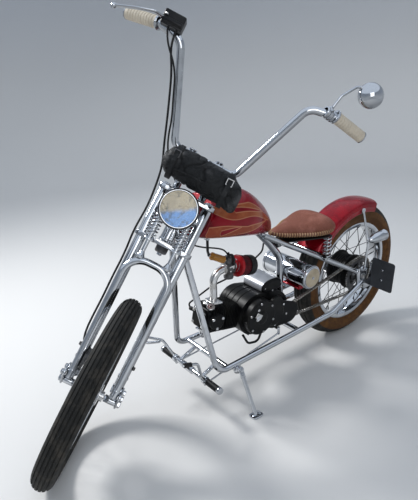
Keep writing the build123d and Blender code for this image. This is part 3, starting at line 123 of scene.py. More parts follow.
class Shader:
    """A material under construction, with one principled surface."""

    def __init__(self, name: str) -> None:
        """Starts an empty material.

        Args:
            name: the material's name.
        """
        self.material = bpy.data.materials.new(name)
        self.material.use_nodes = True
        self.tree = self.material.node_tree
        self.tree.nodes.clear()
        self.surface = self.node("ShaderNodeBsdfPrincipled")
        output = self.node("ShaderNodeOutputMaterial")
        self.tree.links.new(self.surface.outputs["BSDF"], output.inputs["Surface"])

    def node(self, kind: str, settings: Optional[dict] = None,
             inputs: Optional[dict] = None) -> bpy.types.Node:
        """Adds a node; every node of the scene is made here.

        Args:
            kind: the node's type.
            settings: its settings, set before its sockets.
            inputs: values or wires of its input sockets, by name or number.

        Returns:
            The node.
        """
        made = self.tree.nodes.new(kind)
        for key, value in (settings or {}).items():
            setattr(made, key, value)
        for key, value in (inputs or {}).items():
            self.feed(made.inputs[key], value)
        return made

    def feed(self, socket: bpy.types.NodeSocket, value: Feed) -> None:
        """Links a wire to a socket, or sets the socket's own value."""
        if isinstance(value, Wire):
            self.tree.links.new(value.socket, socket)
        elif isinstance(value, (int, float)):
            socket.default_value = value
        elif len(value) == 3 and socket.type == "RGBA":
            socket.default_value = (*value, 1.0)
        else:
            socket.default_value = value

    def maths(self, operation: str, *values: Union[Wire, Number]) -> Wire:
        """One step of arithmetic."""
        node = self.node("ShaderNodeMath", {"operation": operation}, dict(enumerate(values)))
        return Wire(self, node.outputs[0])

    def vector(self, operation: str, first: Feed, second: Feed, output: str = "Vector") -> Wire:
        """One step of vector arithmetic."""
        node = self.node("ShaderNodeVectorMath", {"operation": operation}, {0: first, 1: second})
        return Wire(self, node.outputs[output])

    def mix(self, factor: Union[Wire, Number], first: Feed, second: Feed) -> Wire:
        """A colour between two others.

        Args:
            factor: 0 gives the first colour and 1 the second.
            first: the first colour.
            second: the second colour.

        Returns:
            The mixed colour.
        """
        node = self.node("ShaderNodeMix", {"data_type": "RGBA"}, {0: factor, 6: first, 7: second})
        return Wire(self, node.outputs[2])

    def place(self) -> Wire:
        """Where a point of the surface is, in the object's own metres."""
        return Wire(self, self.node("ShaderNodeTexCoord").outputs["Object"])

    def along(self, direction: Point, origin: Point = (0, 0, 0)) -> Wire:
        """How far a point lies along a direction.

        Args:
            direction: the direction in the row frame.
            origin: where the distance is 0, in metres.

        Returns:
            The distance in metres.
        """
        offset = self.vector("SUBTRACT", self.place(), tuple(origin))
        return self.vector("DOT_PRODUCT", offset, tuple(Vector(direction).normalized()), "Value")

    def facing_down(self) -> Wire:
        """How much a point of the surface faces the floor, from -1 to 1."""
        normal = Wire(self, self.node("ShaderNodeNewGeometry").outputs["Normal"])
        return self.vector("DOT_PRODUCT", normal, (0, 0, -1), "Value")

    def noise(self, scale: float, detail: float = 2.0, roughness: float = 0.5) -> Wire:
        """A cloudy value from 0 to 1.

        Args:
            scale: how many clouds fit in a metre.
            detail: how many finer layers it has.
            roughness: how strong the finer layers are.

        Returns:
            The value.
        """
        inputs = {"Vector": self.place(), "Scale": scale, "Detail": detail, "Roughness": roughness}
        return Wire(self, self.node("ShaderNodeTexNoise", {}, inputs).outputs[0])

    def cells(self, scale: float) -> Wire:
        """The distance to the nearest edge in a pattern of cells."""
        inputs = {"Vector": self.place(), "Scale": scale}
        node = self.node("ShaderNodeTexVoronoi", {"feature": "DISTANCE_TO_EDGE"}, inputs)
        return Wire(self, node.outputs["Distance"])

    def bump(self, height: Wire, strength: float, distance: float) -> None:
        """Raises the surface by a height map.

        Args:
            height: the height, from 0 to 1.
            strength: how much of it shows.
            distance: the height of 1 in metres.
        """
        node = self.node("ShaderNodeBump", {}, {"Height": height, "Strength": strength, "Distance": distance})
        self.feed(self.surface.inputs["Normal"], Wire(self, node.outputs[0]))

    def set(self, **values: Feed) -> None:
        """Sets sockets of the surface by name, with underscores for spaces."""
        for key, value in values.items():
            self.feed(self.surface.inputs[key.replace("_", " ")], value)


# Finishes


@dataclass(frozen=True)
class Chrome:
    """Bright plating with faint haze and dust, and a painted shade on its undersides that stands for darker
    reflections.

    Attributes:
        name: the material's name.
        colour: the reflected colour.
        gloss: the roughness of the clean plating.
        haze: how much roughness the dust adds.
        shade: how dark the painted shade on the undersides is.
    """

    name: str = "chrome"
    colour: tuple = (0.66, 0.68, 0.71)
    gloss: float = 0.05
    haze: float = 0.09
    shade: float = 0.8

    def make(self) -> bpy.types.Material:
        """The material."""
        shader = Shader(self.name)
        clouds = shader.noise(22, 4, 0.6).step(0.42, 0.78)
        specks = shader.noise(310, 2).step(0.62, 0.74)
        # Painted shade: the colour darkens where the surface faces down, standing for darker reflections;
        # clouds break its edge.
        under = (shader.facing_down() + (clouds - 0.5) * 0.12).step(-0.12, 0.42)
        bright = shader.mix(under * self.shade, self.colour, tuple(c * 0.32 for c in self.colour))
        shade = shader.mix(clouds * 0.4, bright, tuple(c * 0.66 for c in self.colour))
        shader.set(Base_Color=shader.mix(specks * 0.35, shade, tuple(c * 0.55 for c in self.colour)),
                   Metallic=1.0, Roughness=clouds * self.haze + specks * 0.15 + self.gloss)
        return shader.material


@dataclass(frozen=True)
class BareMetal:
    """Cast, brushed or worn metal.

    Attributes:
        name: the material's name.
        colour: the clean metal.
        grime: the colour in its hollows.
        roughness: the middle of its roughness.
        grain: the bump's height in millimetres.
        metallic: 1 for bare metal and less for a film of oil or paint.
    """

    name: str
    colour: tuple
    grime: tuple
    roughness: float
    grain: float = 0.08
    metallic: float = 1.0

    def make(self) -> bpy.types.Material:
        """The material."""
        shader = Shader(self.name)
        clouds = shader.noise(34, 5, 0.62)
        fine = shader.noise(900, 2, 0.5)
        shader.set(Base_Color=shader.mix(clouds.step(0.40, 0.72), self.colour, self.grime),
                   Metallic=self.metallic, Roughness=(clouds - 0.5) * 0.3 + self.roughness)
        shader.bump(fine, 0.6, self.grain * MM)
        return shader.material


@dataclass(frozen=True)
class Coating:
    """Paint or moulded plastic with a clear top.

    Attributes:
        name: the material's name.
        colour: the main colour.
        shade: the colour of its darker clouds.
        roughness: the paint's roughness.
        coat: the strength of the clear top.
        grain: the bump's height in millimetres.
        scale: how fine the bump is.
        metallic: above 0 for a metal flake.
        sheen: how strongly the paint itself mirrors.
    """

    name: str
    colour: tuple
    shade: tuple
    roughness: float = 0.35
    coat: float = 0.0
    grain: float = 0.03
    scale: float = 700.0
    metallic: float = 0.0
    sheen: float = 0.5

    def make(self) -> bpy.types.Material:
        """The material."""
        shader = Shader(self.name)
        clouds = shader.noise(16, 4, 0.6)
        fine = shader.noise(self.scale, 2, 0.5)
        dust = shader.noise(60, 5, 0.7).step(0.55, 0.8)
        shader.set(Base_Color=shader.mix(clouds.step(0.35, 0.7), self.colour, self.shade),
                   Metallic=self.metallic, Roughness=dust * 0.15 + self.roughness,
                   Coat_Weight=self.coat, Coat_Roughness=0.05, Specular_IOR_Level=self.sheen)
        shader.bump(fine, 0.5, self.grain * MM)
        return shader.material


@dataclass(frozen=True)
class Rubber:
    """Tyre or hose rubber.

    Attributes:
        name: the material's name.
        colour: the clean rubber.
        dust: the colour of road dust on it.
        roughness: the rubber's roughness.
    """

    name: str
    colour: tuple
    dust: tuple
    roughness: float = 0.72

    def make(self) -> bpy.types.Material:
        """The material."""
        shader = Shader(self.name)
        dusty = shader.noise(26, 5, 0.65).step(0.42, 0.75)
        fine = shader.noise(620, 3, 0.6)
        shader.set(Base_Color=shader.mix(dusty * 0.7, self.colour, self.dust),
                   Roughness=dusty * 0.15 + self.roughness, Specular_IOR_Level=0.3)
        shader.bump(fine, 0.5, 0.12 * MM)
        return shader.material


@dataclass(frozen=True)
class Leather:
    """Grained leather with darker creases and lighter worn patches, which on the bag are also a painted
    highlight.

    Attributes:
        name: the material's name.
        colour: the main colour.
        worn: the colour of its lighter patches: wear, and on the bag also a painted highlight.
        crease: the colour between the grains.
        grain: the bump's height in millimetres.
        scale: how many grains lie in a metre.
    """

    name: str
    colour: tuple
    worn: tuple
    crease: tuple
    grain: float = 0.35
    scale: float = 420.0

    def make(self) -> bpy.types.Material:
        """The material."""
        shader = Shader(self.name)
        pores = shader.cells(self.scale).step(0.0, 0.16)
        # Lighter patches of wear; on the bag they also stand for painted highlights.
        wear_and_highlight = shader.noise(14, 4, 0.62).step(0.46, 0.72)
        wrinkle = shader.noise(46, 4, 0.6)
        shade = shader.mix(wear_and_highlight, self.colour, self.worn)
        shader.set(Base_Color=shader.mix((1 - pores) * 0.55, shade, self.crease),
                   Roughness=(1 - pores) * 0.2 + wear_and_highlight * -0.1 + 0.52, Specular_IOR_Level=0.32)
        shader.bump(pores * 0.5 + wrinkle * 0.9, 0.7, self.grain * MM)
        return shader.material


@dataclass(frozen=True)
class Glass:
    """Clear or tinted glass.

    Attributes:
        name: the material's name.
        colour: its tint.
        alpha: how solid it looks.
    """

    name: str
    colour: tuple
    alpha: float = 0.25

    def make(self) -> bpy.types.Material:
        """The material."""
        shader = Shader(self.name)
        film = shader.noise(30, 4, 0.6).step(0.4, 0.8)
        shader.set(Base_Color=self.colour, Roughness=film * 0.08 + 0.03, Alpha=film * 0.06 + self.alpha,
                   IOR=1.45)
        return shader.material


@dataclass(frozen=True)
class Reflector:
    """A lamp's bowl with a painted reflection: warm ground in its upper half and blue sky in its lower half.

    Attributes:
        name: the material's name.
        ground: the painted reflection's colour above.
        sky: the painted reflection's colour below.
    """

    name: str
    ground: tuple
    sky: tuple

    def make(self) -> bpy.types.Material:
        """The material."""
        shader = Shader(self.name)
        centre = FORK @ Vector((191, 0, 666))
        # Painted reflection: sky colour below the lamp's centre and ground colour above it, with a wavy
        # border.
        height = shader.along((0, 0, 1), centre) + (shader.noise(26, 3, 0.55) - 0.5) * 0.035
        shade = shader.mix(height.step(-0.016, 0.004), self.sky, self.ground)
        rim = shader.noise(70, 2, 0.5).step(0.5, 0.7)
        dust = tuple(c * 0.35 for c in self.ground)
        shader.set(Base_Color=shader.mix(rim * 0.5, shade, dust), Metallic=0.9, Roughness=rim * 0.1 + 0.12)
        return shader.material


@dataclass(frozen=True)
class Flames:
    """Metal-flake paint with licks of flame that sweep back along both sides.

    Attributes:
        name: the material's name.
        base: the paint.
        shade: the paint's darker flake.
        flame: the flames' main colour.
        hot: the flames' paler colour.
        line: the thin outline.
        licks: (root x, tip x, root z, slope, wave, root half width) of each lick, in metres on the
            upright machine.
        holes: the same for the paint-coloured gaps inside the flames.
    """

    name: str
    base: tuple
    shade: tuple
    flame: tuple
    hot: tuple
    line: tuple
    licks: tuple
    holes: tuple

    def make(self) -> bpy.types.Material:
        """The material."""
        shader = Shader(self.name)
        origin = CHASSIS @ Vector((0, 0, 0))
        turn = CHASSIS.to_3x3()
        ahead = shader.along(turn @ Vector((1, 0, 0)), origin)
        height = shader.along(turn @ Vector((0, 0, 1)), origin)
        inside = self._reach(shader, ahead, height, self.licks)
        gaps = self._reach(shader, ahead, height, self.holes)
        reach = inside.least(gaps * -1)
        flake = shader.noise(1400, 2, 0.5)
        clouds = shader.noise(9, 3, 0.5)
        paint = shader.mix(clouds.step(0.35, 0.7), self.base, self.shade)
        fire = shader.mix(shader.noise(13, 3, 0.55).step(0.38, 0.64), self.flame, self.hot)
        with_fire = shader.mix(reach.step(-0.0006, 0.0006), paint, fire)
        edge = 1 - abs(reach).step(0.0008, 0.0022)
        shader.set(Base_Color=shader.mix(edge * 0.9, with_fire, self.line), Metallic=0.25,
                   Roughness=flake * 0.08 + 0.2, Coat_Weight=0.35, Coat_Roughness=0.04,
                   Specular_IOR_Level=0.15)
        return shader.material

    @staticmethod
    def _reach(shader: Shader, ahead: Wire, height: Wire, licks: Sequence[tuple]) -> Wire:
        """How far inside the nearest lick a point lies, in metres; negative outside."""
        best: Optional[Wire] = None
        for root, tip, level, slope, wave, half in licks:
            share = ((ahead - tip) * (1 / (root - tip))).most(0.0).least(1.0)
            back = (ahead - root) * -1
            centre = back * slope + (back * 26.0).sine() * wave + level
            room = share ** 0.75 * half - abs(height - centre)
            room = room - (1 - share.step(0.0, 0.02)) * 0.02 - (back * -2).most(0.0)
            best = room if best is None else best.most(room)
        return best


class Finish(Enum):
    """Every finish on the machine, with the record's slot that it stands for.

    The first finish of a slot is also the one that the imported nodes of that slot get.
    """

    # Chrome and the mirror glass carry a painted shade on their undersides, standing for darker reflections.
    CHROME = "chrome", Chrome()
    SATIN_STEEL = "brushed", BareMetal("satin_steel", (0.56, 0.56, 0.57), (0.34, 0.33, 0.31), 0.32)
    BLACK_METAL = "black_plastic", Coating(
        "black_metal", (0.007, 0.007, 0.008), (0.020, 0.019, 0.018), 0.34, 0.0, 0.10, 520, 0.0, 0.25)
    ENGINE_BLACK = "engine_black", Coating(
        "engine_black", (0.005, 0.005, 0.006), (0.013, 0.013, 0.012), 0.36, 0.0, 0.16, 420, 0.0, 0.14)
    ALLOY = "polished_alloy", BareMetal("polished_alloy", (0.80, 0.80, 0.80), (0.52, 0.50, 0.47), 0.24)
    CHAIN = "chain_steel", BareMetal("chain_steel", (0.30, 0.28, 0.25), (0.09, 0.07, 0.05), 0.42)
    IRON = "cast_grey", BareMetal("dark_iron", (0.14, 0.14, 0.145), (0.06, 0.055, 0.05), 0.45, 0.12, 0.8)
    GRIP = "grip_rubber", Rubber("grip_rubber", (0.62, 0.55, 0.44), (0.42, 0.37, 0.30), 0.5)
    BLACK_RUBBER = "black_rubber", Rubber("black_rubber", (0.007, 0.007, 0.008), (0.022, 0.021, 0.020), 0.5)
    TYRE = "tyre_black", Rubber("tyre_black", (0.016, 0.016, 0.015), (0.075, 0.066, 0.055), 0.8)
    TYRE_BROWN = "tyre_brown", Rubber("tyre_brown", (0.085, 0.036, 0.011), (0.21, 0.095, 0.028), 0.8)
    # Gloss black for the lamp rim's outer ring, a painted dark reflection on the chrome rim.
    GLOSS_BLACK = "engine_black", Coating(
        "gloss_black", (0.004, 0.004, 0.005), (0.012, 0.012, 0.013), 0.2, 0.2, 0.01, 300, 0.0, 0.4)
    SILVER = "polished_alloy", Coating(
        "silver_paint", (0.52, 0.53, 0.56), (0.40, 0.41, 0.43), 0.34, 0.5, 0.05, 600, 0.7)
    FILTER_RED = "filter_red", Coating(
        "filter_red", (0.42, 0.004, 0.010), (0.16, 0.003, 0.006), 0.4, 0.2, 0.1, 300, 0.0, 0.3)
    FILTER_MESH = "filter_red", Coating(
        "filter_mesh", (0.10, 0.003, 0.007), (0.02, 0.003, 0.005), 0.5, 0.0, 0.3, 900, 0.0, 0.25)
    # The reflector's two colours are a painted reflection of warm ground above and blue sky below.
    REFLECTOR = "chrome", Reflector("lamp_reflector", (0.34, 0.30, 0.22), (0.15, 0.27, 0.50))
    DEEP_RED = "deep_red", Coating(
        "deep_red", (0.33, 0.001, 0.010), (0.19, 0.001, 0.007), 0.25, 0.35, 0.01, 900, 0.3, 0.15)
    SADDLE = "brown_leather", Leather(
        "saddle_leather", (0.23, 0.075, 0.045), (0.34, 0.13, 0.09), (0.10, 0.03, 0.02))
    # The bag's lighter patches are partly wear and partly painted highlight.
    BAG = "bag_leather", Leather(
        "bag_leather", (0.009, 0.010, 0.011), (0.085, 0.085, 0.088), (0.003, 0.003, 0.003), 1.2, 260)
    PLATE = "plate_grey", Coating(
        "plate_grey", (0.060, 0.064, 0.072), (0.044, 0.047, 0.053), 0.45, 0.0, 0.05, 300, 0.2, 0.3)
    LAMP_GLASS = "lamp_glass", Glass("lamp_glass", (0.30, 0.34, 0.38), 0.10)
    AMBER = "lamp_glass", Glass("amber_plastic", (0.42, 0.18, 0.02), 0.82)
    MIRROR = "chrome", Chrome("mirror_glass", (0.82, 0.84, 0.87), 0.02, 0.03, 0.3)
    RED_LENS = "lamp_glass", Glass("red_lens", (0.42, 0.004, 0.006), 0.9)
    CREAM = "grip_rubber", Coating("aged_cream", (0.50, 0.42, 0.30), (0.36, 0.29, 0.19), 0.5, 0.2, 0.05, 300)
    LACE = "brown_leather", Leather(
        "lace_leather", (0.42, 0.26, 0.13), (0.52, 0.35, 0.20), (0.16, 0.08, 0.04), 0.2, 900)
    DARK_LEATHER = "brown_leather", Leather(
        "rim_leather", (0.13, 0.045, 0.028), (0.22, 0.09, 0.06), (0.05, 0.018, 0.012), 0.3, 420)
    TANK_FLAMES = "deep_red", Flames(
        "flamed_red", (0.27, 0.001, 0.009), (0.12, 0.001, 0.004), (0.27, 0.045, 0.014), (0.36, 0.10, 0.032),
        (0.48, 0.20, 0.10),
        licks=((0.885, 0.59, 0.884, -0.45, -0.011, 0.043), (0.915, 0.65, 0.774, -0.10, 0.004, 0.025),
               (0.80, 0.62, 0.752, 0.02, 0.005, 0.009)),
        holes=((0.868, 0.775, 0.768, 0.02, 0.002, 0.011), (0.80, 0.63, 0.836, -0.26, 0.005, 0.009),
               (1.00, 0.50, 0.893, -0.13, 0.000, 0.022)))

    @property
    def slot(self) -> str:
        """The record's slot."""
        return self.value[0]


class Palette:
    """Makes each finish once and hands it out."""

    def __init__(self) -> None:
        """Starts with no material made."""
        self._made: dict = {}

    def __getitem__(self, finish: Finish) -> bpy.types.Material:
        """The material of a finish."""
        if finish not in self._made:
            self._made[finish] = finish.value[1].make()
        return self._made[finish]


# Where the parked machine stands


@dataclass(frozen=True)
class Stance:
    """The parked pose: how the upright machine's millimetres become the row frame's metres.

    Attributes:
        lean: degrees to the left, on the side stand.
        pitch: degrees nose down.
        lift: millimetres that set the tyres on the floor.
        shift: millimetres from the rear axle's foot to the row frame's origin.
        steer: degrees of steering to the left.
        rake: degrees of the steering axis from the upright.
        front_axle: its place on the upright machine.
        offset: how far the front axle lies ahead of the steering axis.
    """

    lean: float = 5.75
    pitch: float = 0.866665
    lift: float = 0.3193
    shift: tuple = (-676.5977, -172.3077, 0.0)
    steer: float = 48.5
    rake: float = 36.6
    front_axle: tuple = (1414.0, 0.0, 340.0)
    offset: float = 67.0

    def chassis(self) -> Matrix:
        """From the upright machine's millimetres (forward, left, up)."""
        lean = Matrix.Rotation(math.radians(-self.lean), 4, "X")
        pitch = Matrix.Rotation(math.radians(self.pitch), 4, "Y")
        place = Matrix.Translation(Vector(self.shift) + Vector((0, 0, self.lift)))
        return TO_METRES @ place @ (lean @ pitch)

    def steering(self) -> tuple[Vector, Vector, Vector]:
        """The foot of the steering axis below the front axle, the way ahead of it and the way up it."""
        rake = math.radians(self.rake)
        ahead = Vector((math.cos(rake), 0, math.sin(rake)))
        foot = Vector(self.front_axle) - ahead * self.offset
        return foot, ahead, Vector((-math.sin(rake), 0, math.cos(rake)))

    def fork(self) -> Matrix:
        """From the fork's millimetres (ahead, left, up along the steering axis)."""
        foot, ahead, up = self.steering()
        basis = Matrix((ahead, (0, 1, 0), up)).transposed().to_4x4()
        turn = Matrix.Rotation(math.radians(self.steer), 4, up)
        return self.chassis() @ Matrix.Translation(foot) @ turn @ basis


STANCE = Stance()
CHASSIS = STANCE.chassis()
FORK = STANCE.fork()


class Body(Enum):
    """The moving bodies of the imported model."""

    CHASSIS = "chassis"
    STEERING = "steering"
    FRONT_WHEEL = "front_wheel"
    REAR_WHEEL = "rear_wheel"
    SIDE_STAND = "side_stand"


# Lines and outlines


def turns(count: int) -> list[float]:
    """Evenly spaced angles of a full turn, in radians."""
    return [2 * math.pi * k / count for k in range(count)]


def ray(angle: float, radius: float = 1.0, y: float = 0.0) -> Vector:
    """A point on a circle about the line from right to left.

    Args:
        angle: radians from straight ahead, upward.
        radius: the circle's radius.
        y: how far it lies to the left.

    Returns:
        The point, from the circle's centre.
    """
    return Vector((radius * math.cos(angle), y, radius * math.sin(angle)))


def signed(value: float, power: float) -> float:
    """A power of a number's size, with the number's sign."""
    return math.copysign(abs(value) ** power, value)


def mirrored(profile: Sequence[tuple]) -> list[tuple]:
    """A profile followed by its mirror image, back to its start."""
    return [*profile, *((r, -y) for r, y in reversed(profile))]


def sectioned(rows: Sequence[Sequence[float]], x: float) -> tuple:
    """The values at a place along a form, on a smooth line through those of its sections.

    Args:
        rows: the sections, each with its place first, from the foremost back.
        x: the place.

    Returns:
        The values that follow the place.
    """
    x = min(max(x, rows[-1][0]), rows[0][0])
    i = next(i for i in range(len(rows) - 1) if x >= rows[i + 1][0])
    p0, p1, p2, p3 = rows[max(i - 1, 0)], rows[i], rows[i + 1], rows[min(i + 2, len(rows) - 1)]
    t = (p1[0] - x) / (p1[0] - p2[0])
    values = []
    for k in range(1, len(p1)):
        m1 = (p2[k] - p0[k]) / (p2[0] - p0[0]) * (p2[0] - p1[0])
        m2 = (p3[k] - p1[k]) / (p3[0] - p1[0]) * (p2[0] - p1[0])
        values.append((2 * t ** 3 - 3 * t ** 2 + 1) * p1[k] + (t ** 3 - 2 * t ** 2 + t) * m1
                      + (-2 * t ** 3 + 3 * t ** 2) * p2[k] + (t ** 3 - t ** 2) * m2)
    return tuple(values)


def rounded(width: float, height: float, corner: float, steps: int = 6) -> list[tuple]:
    """The points round a rectangle with rounded corners."""
    x, y = width / 2 - corner, height / 2 - corner
    out = []
    for cx, cy, start in ((x, y, 0), (-x, y, 90), (-x, -y, 180), (x, -y, 270)):
        for k in range(steps + 1):
            angle = math.radians(start + 90 * k / steps)
            out.append((cx + corner * math.cos(angle), cy + corner * math.sin(angle)))
    return out


def hull(circles: Iterable[tuple], steps: int = 24) -> list[tuple]:
    """The outline round a few circles, given as (x, y, radius)."""
    points = sorted({(x + r * math.cos(a), y + r * math.sin(a)) for x, y, r in circles for a in turns(steps)})

    def half(ordered: Sequence[tuple]) -> list[tuple]:
        chain = []
        for point in ordered:
            while len(chain) > 1 and ((chain[-1][0] - chain[-2][0]) * (point[1] - chain[-2][1])
                                      - (chain[-1][1] - chain[-2][1]) * (point[0] - chain[-2][0])) <= 0:
                chain.pop()
            chain.append(point)
        return chain[:-1]

    return half(points) + half(points[::-1])


def inset_by(outline: Sequence[tuple], inset: float) -> list[tuple]:
    """An outline with each point moved toward its middle."""
    middle = Vector((sum(p[0] for p in outline) / len(outline), sum(p[1] for p in outline) / len(outline)))
    out = []
    for x, y in outline:
        inward = (middle - Vector((x, y))).normalized() * inset
        out.append((x + inward.x, y + inward.y))
    return out


def bent_path(points: Sequence[Point], radii: Union[float, Sequence[float]],
              step: float = 7.0) -> list[Vector]:
    """Straight runs joined by tangent arcs.

    Args:
        points: the corners of the runs and their two ends.
        radii: the radius of each corner's arc, or one for all.
        step: degrees of turn between points of an arc.

    Returns:
        The points of the line.
    """
    points = [Vector(p) for p in points]
    radii = [radii] * (len(points) - 2) if isinstance(radii, (int, float)) else radii
    path = [points[0]]
    for index, radius in enumerate(radii, 1):
        before, here, after = points[index - 1], points[index], points[index + 1]
        inward, outward = (before - here).normalized(), (after - here).normalized()
        turn = math.pi - inward.angle(outward)
        if turn < 1e-3:
            path.append(here)
            continue
        reach = radius * math.tan(turn / 2)
        centre = here + (inward + outward).normalized() * (radius / math.cos(turn / 2))
        start = here + inward * reach
        axis = (start - centre).cross(here + outward * reach - centre).normalized()
        count = max(2, round(math.degrees(turn) / step))
        path += [centre + Matrix.Rotation(turn * i / count, 3, axis) @ (start - centre)
                 for i in range(count + 1)]
    path.append(points[-1])
    return path


def helix(start: Point, end: Point, radius: float, coils: float, per_turn: int = 18) -> list[Vector]:
    """The line of a coil spring between two points."""
    start, end = Vector(start), Vector(end)
    axis = (end - start).normalized()
    side = axis.orthogonal().normalized()
    other = axis.cross(side)
    count = int(coils * per_turn)
    line = []
    for i in range(count + 1):
        share = i / count
        angle = 2 * math.pi * coils * share
        line.append(start.lerp(end, share) + (side * math.cos(angle) + other * math.sin(angle)) * radius)
    return line


def resample(line: Sequence[Vector], count: int) -> list[Vector]:
    """Evenly spaced points on a closed line."""
    closed = [*line, line[0]]
    lengths = [0.0]
    for a, b in zip(closed, closed[1:]):
        lengths.append(lengths[-1] + (b - a).length)
    out, j = [], 0
    for i in range(count):
        target = lengths[-1] * i / count
        while lengths[j + 1] < target:
            j += 1
        share = (target - lengths[j]) / max(lengths[j + 1] - lengths[j], 1e-9)
        out.append(closed[j].lerp(closed[j + 1], share))
    return out


# Mesh making


class Form:
    """A mesh under construction, in the millimetres of the chassis or the fork."""

    def __init__(self) -> None:
        """Starts with nothing."""
        self.bm = bmesh.new()
        self.finish = 0

    def use(self, index: int) -> "Form":
        """Chooses the material number of what is added next."""
        self.finish = index
        return self

    def face(self, corners: Sequence[bmesh.types.BMVert]) -> None:
        """Adds one face."""
        made = self.bm.faces.new(corners)
        made.material_index = self.finish

    def rings(self, rings: Sequence[Sequence[Vector]], closed: bool = False, caps: bool = True) -> "Form":
        """Joins rings of points into a skin.

        Args:
            rings: loops of points, all of one length.
            closed: whether the last ring joins the first.
            caps: whether the ends are closed.

        Returns:
            This form.
        """
        made = [[self.bm.verts.new(p) for p in ring] for ring in rings]
        pairs = list(zip(made, made[1:])) + ([(made[-1], made[0])] if closed else [])
        for low, high in pairs:
            for i in range(len(low)):
                j = (i + 1) % len(low)
                self.face((low[i], low[j], high[j], high[i]))
        if caps and not closed:
            self.face(list(reversed(made[0])))
            self.face(made[-1])
        return self

    def tube(self, path: Sequence[Point], radius: Union[float, Sequence[float]], sides: int = 20,
             closed: bool = False, flatten: float = 1.0) -> "Form":
        """A round bar along a line of points.

        Args:
            path: the line.
            radius: the bar's radius, or one for each point.
            sides: how many sides it has.
            closed: whether the line joins up.
            flatten: the bar's second half width as a share of the first.

        Returns:
            This form.
        """
        path = [Vector(p) for p in path]
        count = len(path)
        radii = [radius] * count if isinstance(radius, (int, float)) else radius
        normal = None
        rings = []
        for i, (point, size) in enumerate(zip(path, radii)):
            before = path[i - 1] if i or closed else point
            after = path[(i + 1) % count] if i < count - 1 or closed else point
            along = (after - before).normalized()
            normal = along.orthogonal() if normal is None else normal - along * normal.dot(along)
            normal.normalize()
            side = along.cross(normal)
            rings.append([point + (normal * math.cos(a) + side * (math.sin(a) * flatten)) * size
                          for a in turns(sides)])
        return self.rings(rings, closed)

    def rod(self, start: Point, end: Point, radius: float, sides: int = 24, bevel: float = 0.0) -> "Form":
        """A straight round bar, with its ends rounded over if a bevel is given."""
        start, end = Vector(start), Vector(end)
        if not bevel:
            return self.tube((start, end), radius, sides)
        way = (end - start).normalized() * bevel
        steps = ((0.0, 1.0), (0.3, 0.3), (1.0, 0.0))
        path = [start + way * along for along, _ in steps]
        path += [end - way * along for along, _ in reversed(steps)]
        sizes = [radius - bevel * cut for _, cut in steps]
        return self.tube(path, sizes + sizes[::-1], sides)

    def pin(self, centre: Point, half: float, radius: float, sides: int = 24, bevel: float = 0.0) -> "Form":
        """A straight round bar from right to left, given by its middle and half its length."""
        reach = Vector((0, half, 0))
        return self.rod(Vector(centre) - reach, Vector(centre) + reach, radius, sides, bevel)

    def lathe(self, profile: Sequence[tuple], centre: Point, axis: Point = (0, 1, 0), steps: int = 96,
              closed: bool = False) -> "Form":
        """A turned shape.

        Args:
            profile: (radius, distance along the axis) points.
            centre: where the distance is 0.
            axis: the direction of the axis.
            steps: how many steps make a turn.
            closed: whether the profile's last point joins its first.

        Returns:
            This form.
        """
        centre, axis = Vector(centre), Vector(axis).normalized()
        side = axis.orthogonal().normalized()
        other = axis.cross(side)
        rings = [[centre + axis * h + (side * math.cos(a) + other * math.sin(a)) * max(r, 0.01)
                  for a in turns(steps)] for r, h in profile]
        return self.rings(rings, closed, caps=not closed)

    def block(self, centre: Point, size: Sequence[float], x_dir: Point = (1, 0, 0), z_dir: Point = (0, 0, 1),
              bevel: float = 1.5, segments: int = 2) -> "Form":
        """A box with rounded edges.

        Args:
            centre: its middle.
            size: its length along x_dir, along the direction square to both, and along z_dir.
            x_dir: its first direction.
            z_dir: its third direction.
            bevel: the radius of its edges.
            segments: how many faces round an edge.

        Returns:
            This form.
        """
        x_dir, z_dir = Vector(x_dir).normalized(), Vector(z_dir).normalized()
        y_dir = z_dir.cross(x_dir)
        x, y, z = (s / 2 for s in size)
        corners = [self.bm.verts.new(Vector(centre) + x_dir * (a * x) + y_dir * (b * y) + z_dir * (c * z))
                   for a in (-1, 1) for b in (-1, 1) for c in (-1, 1)]
        for quad in ((0, 1, 3, 2), (4, 6, 7, 5), (0, 4, 5, 1), (2, 3, 7, 6), (0, 2, 6, 4), (1, 5, 7, 3)):
            self.face([corners[k] for k in quad])
        edges = {edge for corner in corners for edge in corner.link_edges}
        bmesh.ops.bevel(self.bm, geom=list(edges) + corners, offset=bevel, segments=segments, profile=0.6,
                        affect="EDGES", material=-1)
        return self

    def slab(self, outline: Sequence[tuple], origin: Point, x_dir: Point, y_dir: Point, thickness: float,
             bevel: float = 1.0) -> "Form":
        """A flat plate with an outline and rounded rims.

        Args:
            outline: (x, y) points round the plate.
            origin: the middle of the plate's first face.
            x_dir: the outline's first direction.
            y_dir: the outline's second direction.
            thickness: the plate's thickness, along x_dir cross y_dir.
            bevel: the rounding of its rims.

        Returns:
            This form.
        """
        x_dir, y_dir = Vector(x_dir).normalized(), Vector(y_dir).normalized()
        z_dir = x_dir.cross(y_dir)
        levels = [(0, bevel), (bevel * 0.35, bevel * 0.25), (bevel, 0), (thickness - bevel, 0),
                  (thickness - bevel * 0.35, bevel * 0.25), (thickness, bevel)]
        return self.rings([[Vector(origin) + x_dir * x + y_dir * y + z_dir * height
                            for x, y in inset_by(outline, inset)] for height, inset in levels])

    def ball(self, centre: Point, radius: float, flatten: Sequence[float] = (1, 1, 1)) -> "Form":
        """A ball, squashed along the axes if wished."""
        made = bmesh.ops.create_uvsphere(self.bm, u_segments=24, v_segments=14, radius=radius,
                                         matrix=Matrix.Translation(centre) @ Matrix.Diagonal((*flatten, 1)))
        for face in {f for v in made["verts"] for f in v.link_faces}:
            face.material_index = self.finish
        return self

